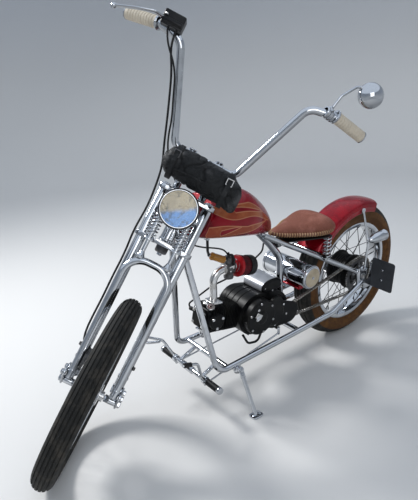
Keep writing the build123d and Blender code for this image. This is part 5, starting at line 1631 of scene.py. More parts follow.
@dataclass
class RearEnd:
    """The fender with its struts, the tail lamp, the plate, the axle and the battery can."""

    can_x: float = 387.93

    def build(self, shop: Shop) -> None:
        """Makes each piece."""
        self._fender(shop)
        self._struts(shop)
        self._lamp(shop)
        self._plate(shop)
        self._can(shop)
        self._axle(shop)

    @staticmethod
    def _fender(shop: Shop) -> None:
        """A thin arch with a domed crown, a pressed ridge on each side and rolled edges."""
        half, skirt, shoulder, crown = 66.6, 300.0, 332.0, 354.0
        edge = ((1.5, -3.4), (-0.6, -2.6), (-1.0, -1), (1.5, 0.2), (8, 0), (16, 0), (19, 1.4), (23, 1.4),
                (26, 0))
        section = [(skirt + up, half + out) for up, out in edge] + [(shoulder - 2, half - 0.2)]
        for angle in (math.pi / 2 * k / 12 for k in range(1, 12)):
            section.append((shoulder + (crown - shoulder) * math.sin(angle), half * math.cos(angle) ** 0.78))
        outer = mirrored(section)
        outer.insert(len(section), (crown, 0.0))
        inner = [(r - 2.6 if abs(y) < half - 4 else r, y - math.copysign(2.4, y) if abs(y) > 8 else y)
                 for r, y in reversed(outer[4:-4])]
        steps = 44
        sweep = [math.radians(33.5 + (108 - 33.5) * k / steps) for k in range(steps + 1)]
        form = Form().rings([[Vector((math.cos(a) * r, y, 330 + math.sin(a) * r)) for r, y in outer + inner]
                             for a in sweep])
        for side in (-1, 1):
            form.use(1).bolt((4, side * 71, 644), (0, side, 0), 10, 5)
        shop.make(form, "red_fender", Body.CHASSIS, [Finish.DEEP_RED, Finish.CHROME], ["rear_fender"], 40)

    @staticmethod
    def _struts(shop: Shop) -> None:
        """A strut on each side, flattened at its bolted top."""
        form = Form()
        for side in (-1, 1):
            foot, middle, top = (Vector((x, side * y, z))
                                 for x, y, z in ((4, 114, 370), (-2, 112, 500), (4, 71.3, 644)))
            form.tube(bent_path((foot, middle, top), 60, 3), 5.5, 20)
            form.pin(top, side * 4, 12, 32, 1)
            form.pin(foot, side * 6, 14, 32, 1)
            form.bolt(foot + Vector((0, side * 6, 0)), (0, side, 0), 14, 7)
        shop.make(form, "fender_strut_bars", Body.CHASSIS, [Finish.CHROME], ["fender_struts"])

    @staticmethod
    def _lamp(shop: Shop) -> None:
        """A bullet lamp with a red lens that faces rearward."""
        centre = (-56, 120, 514)
        body = [(0.01, 60), (5, 59.4), (11, 54), (16.5, 44), (20.5, 30), (23.3, 12), (24.8, -8), (25, -24),
                (25, -44), (26.2, -46), (26.4, -50), (25.6, -53), (23.4, -53.4), (22.8, -51)]
        form = Form().lathe(body, centre, (1, 0, 0), 64)
        form.rod((-2, 108, 506), (-20, 120, 512), 6, 20)
        form.block((-4, 112, 505), (20, 10, 16), bevel=2)
        form.use(1).lathe([(22.9, -52), (20, -55.5), (13, -58.5), (0.01, -60)], centre, (1, 0, 0), 64)
        shop.make(form, "bullet_tail_lamp", Body.CHASSIS, [Finish.CHROME, Finish.RED_LENS], ["tail_lamp"])

    @staticmethod
    def _plate(shop: Shop) -> None:
        """A blank plate with a pressed border on its bracket."""
        levels = ((0, 0.8), (0.4, 0.2), (1.0, 0), (2.2, 0), (2.8, 0.6), (3.0, 3.0), (2.9, 5.0), (2.2, 6.0))
        form = Form().rings([[Vector((-58 + height, 172 + y, 338 + z))
                              for y, z in rounded(122 - 2 * inset, 148 - 2 * inset, 12 - inset)]
                             for height, inset in levels])
        form.use(1).block((-31, 113, 286), (60, 6, 44), bevel=1.5)
        form.block((-28, 111, 290), (54, 6, 30), bevel=1.5)
        for z in (313, 363):
            form.bolt((-54.8, 172, z), (1, 0, 0), 9, 4)
            form.bolt((-58, 172, z), (-1, 0, 0), 9, 4)
        shop.make(form, "blank_plate", Body.CHASSIS, [Finish.PLATE, Finish.CHROME], ["plate_bracket"])

    def _can(self, shop: Shop) -> None:
        """A bright can across the machine, with a band near each end, a pale lid and a red tray."""
        x = self.can_x
        body = [(0.01, -129), (40, -129), (43, -127), (43, -125.5), (47, -125.2), (49.5, -123), (50, -120),
                (50, 120), (49.5, 123), (47, 125.2), (43, 125.5), (43, 127.5)]
        form = Form().lathe(body, (x, 0, 450))
        for y in (-116, 116):
            form.lathe(mirrored([(50, -5.5), (52, -5), (52.5, -3)]), (x, y, 450), closed=True)
        form.use(1).lathe([(43, 126.5), (41.5, 128.6), (30, 129), (0.01, 129)], (x, 0, 450))
        form.use(0).bolt((x, 129, 450), (0, 1, 0), 9, 3)
        form.use(2).block((x + 4, 36, 393), (62, 92, 8), bevel=2.5, segments=3)
        form.block((x + 4, 84, 400), (62, 5, 20), bevel=1.5)
        shop.make(form, "bright_can", Body.CHASSIS, [Finish.CHROME, Finish.CREAM, Finish.DEEP_RED],
                  ["battery_can"])

    @staticmethod
    def _axle(shop: Shop) -> None:
        """The rear axle with its nuts, spacers, brake plate and brake arm."""
        plate = [(15, -55), (40, -55), (52, -53.5), (66, -52), (73.5, -50), (74, -47.5), (70, -47), (15, -47)]
        form = Form().pin((0, 0, 330), 120, 7.95, 28, 1.5)
        form.pin((0, 90, 330), 10, 14, 32)
        form.pin((0, -73.5, 330), 26.5, 15, 32)
        form.use(1).lathe(plate, (0, 0, 330), steps=80, closed=True)
        for side in (-1, 1):
            form.use(0).bolt((0, side * 108, 330), (0, side, 0), 22, 9)
        form.pin((50, -68, 304), -20, 6, 20, 1)
        form.tube(bent_path(((50, -84, 304), (62, -84, 262), (78, -84, 214)), 40), 5, 16)
        shop.make(form, "rear_axle_set", Body.CHASSIS, [Finish.SATIN_STEEL, Finish.IRON], ["rear_axle"])


# Engine and drive


@dataclass
class Engine:
    """The horizontal single-cylinder engine with its covers, fins, caps and bolts."""

    crank: tuple = (650.0, 345.0)
    gearbox: tuple = (552.0, 332.0)
    tilt: float = 11.5

    def bore(self, s: float, t: float = 0.0, y: float = 0.0) -> Vector:
        """A point along and above the cylinder's bore."""
        a = math.radians(self.tilt)
        return Vector((self.crank[0] + math.cos(a) * s - math.sin(a) * t, y,
                       self.crank[1] + math.sin(a) * s + math.cos(a) * t))

    @property
    def bore_dir(self) -> Vector:
        """The direction from the crank to the head."""
        return (self.bore(1) - self.bore(0)).normalized()

    @property
    def bore_up(self) -> Vector:
        """The direction square to the bore, upward."""
        return (self.bore(0, 1) - self.bore(0)).normalized()

    def build(self, shop: Shop) -> None:
        """Makes the engine's pieces."""
        self._cylinder(shop)
        self._head(shop)
        self._case(shop)
        self._starter(shop)
        self._plug(shop)

    def _stack(self, form: Form, levels: Sequence[tuple]) -> None:
        """A skin through rounded rectangles square to the bore, as (s, width, height, corner)."""
        form.rings([[self.bore(s, b, a) for a, b in rounded(w, h, c)] for s, w, h, c in levels])

    def _cylinder(self, shop: Shop) -> None:
        """The finned cylinder with its studs."""
        form = Form()
        levels = [(84.5, 84, 84, 20)]
        for at in (93 + i * 8.4 for i in range(8)):
            levels += [(at - 1.3, 84, 84, 20), (at - 1.1, 112, 108, 23), (at + 0.9, 112.6, 108.6, 23),
                       (at + 1.3, 84, 84, 20)]
        self._stack(form, levels + [(159.5, 84, 84, 20)])
        for a in (-34, 34):
            for b in (-34, 34):
                form.rod(self.bore(86, b, a), self.bore(158, b, a), 5, 16)
        shop.make(form, "finned_cylinder", Body.CHASSIS, [Finish.ENGINE_BLACK], ["cylinder"])

    def _head(self, shop: Shop) -> None:
        """The finned head with its round cover, valve caps, ports and nuts."""
        form = Form()
        levels = [(160, 96, 88, 16), (163, 96, 88, 16)]
        for at in (168 + i * 9.2 for i in range(7)):
            levels += [(at - 1.4, 96, 88, 16), (at - 1.2, 117, 103, 22), (at + 1.2, 117, 103, 22),
                       (at + 1.4, 96, 88, 16)]
        levels += [(240, 96, 88, 16), (242, 92, 84, 15), (242.2, 78, 74, 18), (250, 78, 74, 18),
                   (252, 74, 70, 17)]
        self._stack(form, levels)
        centre, top = self.bore(206), self.bore(214)
        form.lathe([(33, 20), (33, 60), (31.5, 64), (28, 65.6), (26, 64.2), (0.01, 64.2)], centre, steps=64)
        valve_cap = [(0.01, 53.5), (19, 53.6), (20, 55), (20, 60), (18.5, 61.6), (0.01, 62)]
        for side in (-1, 1):
            up = self.bore_up * side
            form.use(0).lathe([(21, 30), (21, 52), (19.5, 54)], top, up, 48)
            form.use(1).lathe(valve_cap, top, up, 40)
            form.bolt(top + up * 61, up, 17, 5, False)
        form.use(0).rod(self.bore(200, 30, 14), self.bore(198, 62, 14), 22, 40, 1.5)
        form.rod(self.bore(200, -30, -18), self.bore(200, -58, -18), 21, 40, 1.5)
        form.use(1)
        for angle in (a + 0.5 for a in turns(3)):
            spot = centre + self.bore_dir * (27 * math.cos(angle)) + self.bore_up * (27 * math.sin(angle))
            form.bolt(spot + Vector((0, 65, 0)), (0, 1, 0), 8, 3.5)
        for a in (-30, 30):
            for b in (-26, 26):
                form.bolt(self.bore(252, b, a), self.bore_dir, 10, 5)
        form.lathe([(4.5, 0), (15, 0), (16, 2), (16, 9), (14, 11), (4.5, 11)], self.bore(226, 50, 34),
                   (0.2, 0.3, 1), 40, True)
        shop.make(form, "finned_head", Body.CHASSIS, [Finish.ENGINE_BLACK, Finish.ALLOY], ["cylinder_head"])

    def _case(self, shop: Shop) -> None:
        """Bolts, ribs, plugs, a cover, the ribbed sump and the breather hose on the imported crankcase."""
        form = Form()
        x, z = self.crank
        left = Vector((x, 102, z))
        for angle in (2 * math.pi * (k + 0.4) / 6 for k in range(6)):
            form.use(2).cap_screw(left + ray(angle, 66, -0.6), (0, 1, 0), 5, 4)
        form.use(1).lathe([(0.01, 3), (9, 3), (10, 4), (24, 4), (27, 2.6), (28, -0.5)], left, steps=56)
        form.use(0).block(left + Vector((26, 5, 20)), (34, 10, 22), (1, 0, 0.7), (-0.7, 0, 1), 2.5, 3)
        form.bolt(left + Vector((34, 9, 10)), (0, 1, 0), 12, 5)
        form.lathe([(0.01, 2.2), (4, 2.2), (6, 1.2), (6.4, -0.5)], left + Vector((20, 0, 42)), steps=32)
        for dx, dz in ((-42, 30), (-60, -22), (6, -52), (-16, 44)):
            form.cap_screw((self.gearbox[0] + 14 + dx, 95.6, self.gearbox[1] + dz), (0, 1, 0), 4.5, 3.6)
        for angle in turns(10):
            front = math.cos(angle) > 0
            centre = Vector((x - 6, -94, z - 2) if front else (self.gearbox[0] + 6, -94, self.gearbox[1] - 2))
            form.cap_screw(centre + ray(angle, 74 if front else 66), (0, -1, 0), 4.5, 8)
        form.use(1).lathe([(0.01, 8), (28, 8), (31, 6), (32, 3), (32, -1)], (x - 10, -100, z), (0, -1, 0), 56)
        for k in range(5):
            form.block((x - 60 + 22 * k, 0, z - 88), (4, 104, 14), bevel=1.4)
        form.use(0).bolt((x - 70, 0, z - 95), (0, 0, -1), 17, 7)
        for y in (-42, -12, 18):
            arc = [Vector((x, 0, z)) + ray(math.radians(38 + 8 * k), 90, y) for k in range(12)]
            form.use(1).tube(arc, 2.2, 10)
        breather = [(716, 58, 270), (694, 66, 224), (640, 68, 214), (606, 60, 262)]
        form.use(3).tube(bent_path(breather, (26, 30), 8), 5, 16)
        cover = ((50, 34, 88), (50, 34, 98), (46, 30, 101))
        form.use(1).rings([[Vector((px, y, pz)) for px, pz in hull(((574, 330, low), (566, 380, high)), 64)]
                           for low, high, y in cover])
        shop.make(form, "case_fasteners", Body.CHASSIS,
                  [Finish.ALLOY, Finish.ENGINE_BLACK, Finish.SATIN_STEEL, Finish.BLACK_RUBBER])

    @staticmethod
    def _starter(shop: Shop) -> None:
        """The smooth bright cover over the starter motor."""
        outline = [(554 + 57 * signed(math.cos(a), 0.8),
                    438 + (34 if math.sin(a) > 0 else 22) * signed(math.sin(a), 0.9)) for a in turns(96)]
        levels = ((-58, 1.5), (-56, 0), (40, 0), (50, 0.6), (56, 2.6), (59.5, 5.5), (61.4, 9), (62, 14))
        rings = [[Vector((px, y, pz)) for px, pz in inset_by(outline, inset)] for y, inset in levels]
        form = Form()
        form.use(0).rings(rings[:4])
        form.use(1).rings(rings[3:])
        for px, pz in ((508, 446), (598, 444), (556, 424)):
            form.use(2).cap_screw((px, 56, pz), (0, 1, 0), 3.5, 6)
        shop.make(form, "starter_shell", Body.CHASSIS, [Finish.SILVER, Finish.ENGINE_BLACK, Finish.ALLOY],
                  ["starter_cover"])

    def _plug(self, shop: Shop) -> None:
        """The spark plug's cap and lead on the right side."""
        form = Form()
        start = self.bore(222, 6, -50)
        out = (Vector((0, -1, 0)) + self.bore_dir * 0.35).normalized()
        form.use(0).rod(start, start + out * 12, 8, 6)
        form.use(1).tube([start + out * reach for reach in (10, 14, 30, 34)], (6, 8.5, 8.5, 6), 20)
        line = [start + out * 30, start + out * 44 + Vector((-6, 0, 14)), (752, -98, 446), (600, -84, 470),
                (528, -34, 560), (534, -20, 618)]
        form.tube(bent_path(line, (12, 50, 50, 40), 8), 3.6, 12)
        shop.make(form, "spark_plug_cap", Body.CHASSIS, [Finish.ALLOY, Finish.BLACK_RUBBER])


@dataclass
class Intake:
    """The intake elbow, the carburettor, the cone filter, the fuel filter and its hoses."""

    engine: Engine
    carb: tuple = (756.0, 16.0, 574.0)

    def build(self, shop: Shop) -> None:
        """Makes the intake."""
        carb, up = Vector(self.carb), self.engine.bore_up
        port = self.engine.bore(198, 66, 14)
        form = Form()
        path = bent_path((port, (port.x + 2, 15, 566), carb + Vector((24, 0, 1))), 44, 6)
        form.use(0).tube(path, 14.8, 32)
        form.block(port + up * 3.6, (44, 57, 7), self.engine.bore_dir, up, 2)
        for side in (-1, 1):
            form.bolt(port + up * 7 + Vector((0, side * 21, 0)), up, 10, 5)
        form.rod(carb + Vector((23, 0, 0)), carb + Vector((28, 0, 0)), 22, 40, 1)
        form.use(1).block(carb, (46, 43, 39), bevel=6, segments=3)
        top = [(15.5, 18), (16.8, 19), (16.8, 38), (15.5, 40), (17, 41), (17, 44), (15, 46), (6, 46)]
        form.lathe(top, carb, (0, 0, 1), 48)
        form.use(2).tube([carb + Vector((0, 0, rise)) for rise in (44, 58, 62)], (6, 4.6, 3.4), 16)
        bowl = [(17, -18), (19.6, -20), (19.6, -42), (18, -45), (8, -46), (0.01, -46)]
        form.use(1).lathe(bowl, carb, (0, 0, 1), 48)
        form.use(0)
        for angle in turns(3):
            spot = carb + Vector((15 * math.cos(angle), 15 * math.sin(angle), -44))
            form.cap_screw(spot, (0, 0, -1), 2.6, 2.5)
        form.bolt(carb - Vector((0, 0, 46)), (0, 0, -1), 9, 4)
        form.pin(carb + Vector((-4, 24, 6)), 3, 5, 16, 0.8)
        form.block(carb + Vector((4, 26, 12)), (26, 2, 6), bevel=0.6)
        form.bolt(carb + Vector((8, 21, -8)), (0, 1, 0), 6, 3, False)
        form.rod(carb + Vector((-20, 0, -2)), carb + Vector((-38, 0, -4)), 19.5, 40, 1)
        shop.make(form, "intake_and_carburettor", Body.CHASSIS,
                  [Finish.ALLOY, Finish.IRON, Finish.BLACK_RUBBER], ["carburettor"])
        self._cone(shop, carb)
        self._fuel(shop)

    @staticmethod
    def _cone(shop: Shop, carb: Vector) -> None:
        """A pleated cone between a red collar and a dark end cap."""
        start = carb - Vector((30, 0, 3))
        axis = (Vector((636, 16, 548)) - start).normalized()
        side = axis.cross(Vector((0, 1, 0))).normalized()
        other = axis.cross(side)
        collar = [(21, -4), (26, -3), (27, 2), (27, 6), (40, 8), (43.4, 11), (44, 14), (43.2, 18), (40, 19)]
        end = [(36, 60), (40.4, 60.6), (41, 63), (41, 86), (39.6, 90), (34, 92), (20, 92), (16, 90.5),
               (0.01, 90.5)]
        pleats = ((16, 41.5), (22, 42.5), (61, 37.5), (66, 36.5))
        form = Form()
        form.use(0).lathe(collar, start, axis, 72)
        form.use(3).rings([[start + axis * at + (side * math.cos(a) + other * math.sin(a))
                            * (radius - (1.8 if k % 4 in (1, 2) else 0.0)) for k, a in enumerate(turns(144))]
                           for at, radius in pleats])
        form.use(1).lathe(end, start, axis, 72)
        form.use(2).lathe([(27.1, -1), (28, -0.6), (28, 4), (27.1, 4.4)], start, axis, 56, True)
        form.block(start + other * 29 + axis * 2, (9, 8, 7), axis, other, 1.2)
        finishes = [Finish.FILTER_RED, Finish.BLACK_METAL, Finish.CHROME, Finish.FILTER_MESH]
        shop.make(form, "cone_filter", Body.CHASSIS, finishes, ["air_filter"], 24)

    @staticmethod
    def _fuel(shop: Shop) -> None:
        """The amber fuel filter between two black hoses."""
        front, rear, tap = Vector((846, 24, 650)), Vector((786, 22, 616)), Vector((872, 36, 724))
        axis, length = (rear - front).normalized(), (rear - front).length
        shell = [(5, -9), (5.6, -4), (11, 0), (15, 3), (15.2, 6), (14.4, 9)]
        core = [(0.01, 8), (10, 8), (10.4, 12)]
        form = Form()
        for number, (half, steps) in enumerate(((shell, 40), (core, 32))):
            form.use(number).lathe(half + [(r, length - h) for r, h in reversed(half)], front, axis, steps)
        start, end = front - axis * 13, rear + axis * 11
        form.use(2).tube(bent_path((tap + Vector((0, 0, 2)), tap - Vector((0, 0, 44)), start), 10, 8), 5, 20)
        rest = (end, (768, 23, 620), (752, 30, 640), (744, 36, 606), (750, 38, 584))
        form.tube(bent_path(rest, (8, 10, 12), 8), 5, 20)
        for spot in (start, rear + axis * 8):
            form.use(3).lathe([(5.2, -2), (6.4, -2), (6.4, 2), (5.2, 2)], spot, axis, 24, True)
        shop.make(form, "fuel_filter_and_hoses", Body.CHASSIS,
                  [Finish.AMBER, Finish.CREAM, Finish.BLACK_RUBBER, Finish.SATIN_STEEL])


@dataclass
class Exhaust:
    """The header and the straight silencer on the right."""

    engine: Engine

    def build(self, shop: Shop) -> None:
        """Makes the exhaust."""
        start = self.engine.bore(200, -62, -18)
        up = self.engine.bore_up
        points = [start, start - Vector((4, 12, 40)), (800, -104, 262), (700, -158, 254), (540, -166, 258)]
        form = Form()
        form.use(0).tube(bent_path(points, (30, 40, 60), 5), 15, 32)
        form.block(start - up * 3, (48, 46, 7), self.engine.bore_dir, up, 2)
        first, last = Vector((556, -166, 258)), Vector((60, -170, 272))
        axis, length = (last - first).normalized(), (last - first).length
        tail = [(30, -40), (30.4, -39), (30.4, -36), (30, -35), (30, -6), (28.5, -1), (26, 0), (24, -2),
                (20, -26), (0.01, -30)]
        profile = [(16, -0.5), (22, 0.5), (28, 5), (30, 14)] + [(r, length + h) for r, h in tail]
        form.lathe(profile, first, axis, 72)
        form.lathe([(15.2, -16), (18, -15), (18, -6), (15.2, -5)], first, axis, 40, True)
        form.bolt(first - axis * 10 + Vector((0, 0, 18)), (0, 0, 1), 9, 6)
        form.use(1).block((330, -140, 262), (30, 14, 8), bevel=2)
        shop.make(form, "exhaust_pipe", Body.CHASSIS, [Finish.CHROME, Finish.IRON], ["exhaust"])


@dataclass
class Drive:
    """The drive chain and the toothed rear sprocket."""

    rear: tuple = (0.0, 76.0, 330.0)
    front: tuple = (482.0, 76.0, 300.0)
    pitch: float = 12.7
    rear_radius: float = 85.0
    front_radius: float = 28.0
    teeth: int = 42

    def build(self, shop: Shop) -> None:
        """Makes the chain and the sprocket."""
        form = Form()
        waist = hull(((-6.35, 0, 4.6), (6.35, 0, 4.6)), 12)
        for i, (spot, way) in enumerate(self._places()):
            up = way.cross(Vector((0, 1, 0)))
            for side in (-1, 1):
                aside = side * (5.6 if i % 2 else 4.2) + 0.7
                form.use(0).slab(waist, spot + Vector((0, aside, 0)), way, up, 1.4, 0.3)
            pin = spot + way * (self.pitch / 2)
            form.use(1).pin(pin, 3.6, 4.1, 12)
            form.pin(pin, 6.4, 1.9, 8)
        shop.make(form, "roller_chain", Body.CHASSIS, [Finish.CHAIN, Finish.SATIN_STEEL], ["drive_chain"])
        self._sprocket(shop)

    def _places(self) -> list[tuple]:
        """Each link's place and direction along the chain line."""
        front, rear = Vector(self.front), Vector(self.rear)
        gap = front - rear
        along = math.atan2(gap.z, gap.x)
        drop = self.rear_radius - self.front_radius
        wedge = math.acos(drop / gap.length)
        straight = math.sqrt(gap.length ** 2 - drop ** 2)
        # each run's length, centre, radius, first angle and whether it turns
        runs = ((self.front_radius * 2 * wedge, front, self.front_radius, along - wedge, True),
                (straight, front, self.front_radius, along + wedge, False),
                (self.rear_radius * (2 * math.pi - 2 * wedge), rear, self.rear_radius, along + wedge, True),
                (straight, rear, self.rear_radius, along - wedge, False))
        total = sum(run[0] for run in runs)
        count = 2 * round(total / self.pitch / 2)
        places = []
        for i in range(count):
            left = total * i / count
            for length, centre, radius, angle, turning in runs:
                if left < length:
                    break
                left -= length
            angle += left / radius if turning else 0.0
            way = ray(angle + math.pi / 2)
            places.append((centre + ray(angle) * radius + way * (0.0 if turning else left), way))
        return places

    def _sprocket(self, shop: Shop) -> None:
        """A toothed ring on arms, with its bolts."""
        centre = Vector(self.rear)
        tooth = (-4.6, -4.4, -1.5, 2.4, 3.2, 2.4, -1.5, -4.4)
        angles = turns(self.teeth * len(tooth))
        outer = [centre + ray(a, self.rear_radius + tooth[k % len(tooth)]) for k, a in enumerate(angles)]
        inner = [centre + ray(a, 62) for a in angles]
        lift = Vector((0, 2.3, 0))
        form = Form()
        form.use(0).rings([[p + lift for p in inner], [p + lift for p in outer], [p - lift for p in outer],
                           [p - lift for p in inner]], closed=True)
        for angle in turns(5):
            arm = ray(angle + 0.3)
            form.use(0).block(centre + arm * 50, (34, 16, 4.4), arm, (0, 1, 0), 1.5)
            form.use(1).bolt(centre + arm * 36 + Vector((0, 3, 0)), (0, 1, 0), 12, 6)
        form.use(0).lathe([(8.1, -3), (44, -3), (44, 3), (8.1, 3)], centre, steps=64, closed=True)
        shop.make(form, "toothed_sprocket", Body.REAR_WHEEL, [Finish.IRON, Finish.SATIN_STEEL],
                  ["rear_sprocket"], 28)


# Leather, cords and brake


@dataclass
class Saddle:
    """The sprung saddle: a leather cushion with a laced rim on a steel pan."""

    # x, half width, bottom and top of each section, from the nose to the back
    sections: tuple = ((514, 16, 640, 656), (486, 34, 628, 664), (420, 60, 614, 667), (330, 104, 606, 673),
                       (256, 118, 604, 682), (222, 104, 610, 674))

    def build(self, shop: Shop) -> None:
        """Makes the cushion, its rim, the lacing, the pan and the springs."""
        self._cushion(shop)
        self._rim(shop)
        self._mount(shop)

    def _cushion(self, shop: Shop) -> None:
        """The crowned cushion, swelled by a cloth simulation."""
        rings = []
        count = 34
        for i in range(count + 1):
            share = i / count
            x = 512 - 288 * (0.5 - 0.5 * math.cos(math.pi * share))
            half, low, high = sectioned(self.sections, x)
            middle = low + (high - low) * 0.42
            end = min(share, 1 - share)
            shrink = 1.0 if end > 0.08 else 0.55 + 0.45 * math.sin(end / 0.08 * math.pi / 2)
            ring = []
            for angle in turns(40):
                c, s = math.cos(angle), math.sin(angle)
                y = (half - 4) * signed(c, 0.86) * shrink
                z = (middle + (high - 6 - middle) * abs(s) ** 1.05 * shrink if s > 0
                     else middle - (middle - low - 2) * abs(s) ** 0.5)
                ring.append(Vector((x, y, z)))
            rings.append(ring)
        cushion = Form().rings(rings).object("saddle_cushion", CHASSIS, 80)
        swell(cushion, 0.006, 0.003)
        shop.hang(cushion, Body.CHASSIS, [Finish.SADDLE], ["saddle"])

    def _edge(self, steps: int = 220) -> list[Vector]:
        """The line round the cushion's lower edge."""
        line = []
        for angle in turns(steps):
            x = 367 + 146 * math.cos(angle)
            half, low, high = sectioned(self.sections, x)
            line.append(Vector((x, half * signed(math.sin(angle), 0.34), low + (high - low) * 0.30)))
        return resample(line, steps)

    def _rim(self, shop: Shop) -> None:
        """A rolled dark rim with a whip-stitched lace over it."""
        line = self._edge()
        up = Vector((0, 0, 1))
        form = Form().tube(line, 7.0, 14, closed=True)
        form.use(1)
        for k in range(0, len(line), 3):
            along = (line[(k + 3) % len(line)] - line[k]).normalized()
            out = along.cross(up).normalized()
            loop = []
            for j in range(9):
                angle = math.radians(-60 + 30 * j)
                around = out * math.cos(angle) + up * math.sin(angle)
                loop.append(line[k] + along * (0.75 * j) + around * 7.9)
            form.tube(loop, 2.1, 8, flatten=0.7)
        shop.make(form, "saddle_laced_rim", Body.CHASSIS, [Finish.DARK_LEATHER, Finish.LACE])

    @staticmethod
    def _mount(shop: Shop) -> None:
        """The pan, the nose bracket and the two coil springs."""
        outline = hull(((470, 0, 24), (282, 72, 36), (282, -72, 36)), 40)
        form = Form().slab(outline, (0, 0, 598), (1, 0, 0), (0, 1, 0), 5, 1.2)
        form.block((478, 0, 594), (30, 24, 32), bevel=2)
        form.block((496, 0, 600), (40, 14, 28), bevel=2)
        form.use(1).pin((480, 0, 590), 16, 5, 20, 1)
        lift = Vector((0, 0, 4))
        for side in (-1, 1):
            base = FrameTubes.spring_seat(side)
            top = Vector((base.x, base.y, 594))
            form.use(2).tube(helix(base + lift, top, 14.6, 5.5, 22), 3.2, 12)
            form.use(0).rod(base, base + lift, 17.5, 36, 1)
            form.rod(top, top + lift, 17.5, 36, 1)
            form.use(1).rod(base, top + lift, 4, 16)
        shop.make(form, "saddle_pan_and_springs", Body.CHASSIS,
                  [Finish.BLACK_METAL, Finish.SATIN_STEEL, Finish.CHROME], ["saddle_mount"])


def swell(piece: bpy.types.Object, voxel: float, cap: float, pressure: float = 4.0,
          creases: float = 0.0) -> None:
    """Rounds a padded piece with a short cloth simulation and leaves the result in its mesh.

    Args:
        piece: the piece, in metres.
        voxel: the remesh size.
        cap: how far a point may move.
        pressure: the air pressure inside.
        creases: the depth of the folds pressed into its skin.
    """
    bpy.context.view_layer.objects.active = piece
    remesh = piece.modifiers.new("remesh", "REMESH")
    remesh.mode = "VOXEL"
    remesh.voxel_size = voxel
    bpy.ops.object.modifier_apply(modifier=remesh.name)
    inflate(piece, cap, pressure)
    smooth = piece.modifiers.new("smooth", "SMOOTH")
    smooth.iterations = 6
    bpy.ops.object.modifier_apply(modifier=smooth.name)
    subdivide = piece.modifiers.new("subdivide", "SUBSURF")
    subdivide.levels = subdivide.render_levels = 1
    bpy.ops.object.modifier_apply(modifier=subdivide.name)
    if creases:
        normals = [v.normal.copy() for v in piece.data.vertices]
        for vertex, normal in zip(piece.data.vertices, normals):
            spot = vertex.co + noise.noise_vector(vertex.co * 17) * 0.018
            fold = 1 - min(1.0, abs(noise.noise(spot * 21)) / 0.16)
            dent = 1 - min(1.0, abs(noise.noise(spot * 38 + Vector((7, 3, 1)))) / 0.12)
            lump = noise.noise(spot * 12 + Vector((1, 5, 2)))
            vertex.co -= normal * creases * (fold ** 2 + 0.45 * dent ** 2 - 0.7 * lump)
    for polygon in piece.data.polygons:
        polygon.use_smooth = True


def inflate(piece: bpy.types.Object, cap: float, pressure: float) -> None:
    """Blows a piece up for 20 frames of cloth and moves its points there, no further than the cap."""
    scene = bpy.context.scene
    start = [v.co.copy() for v in piece.data.vertices]
    cloth = piece.modifiers.new("cloth", "CLOTH")
    settings = cloth.settings
    settings.use_pressure = True
    settings.uniform_pressure_force = pressure
    settings.effector_weights.gravity = 0.0
    settings.mass = 0.3
    settings.tension_stiffness = 15
    settings.bending_stiffness = 0.5
    cloth.point_cache.frame_start = 1
    cloth.point_cache.frame_end = 20
    for number in range(1, 21):
        scene.frame_set(number)
    evaluated = piece.evaluated_get(bpy.context.evaluated_depsgraph_get())
    moved = [v.co.copy() for v in evaluated.data.vertices]
    piece.modifiers.remove(cloth)
    scene.frame_set(1)
    for vertex, before, after in zip(piece.data.vertices, start, moved):
        step = after - before
        vertex.co = before + step * min(1.0, cap / max(step.length, 1e-9))


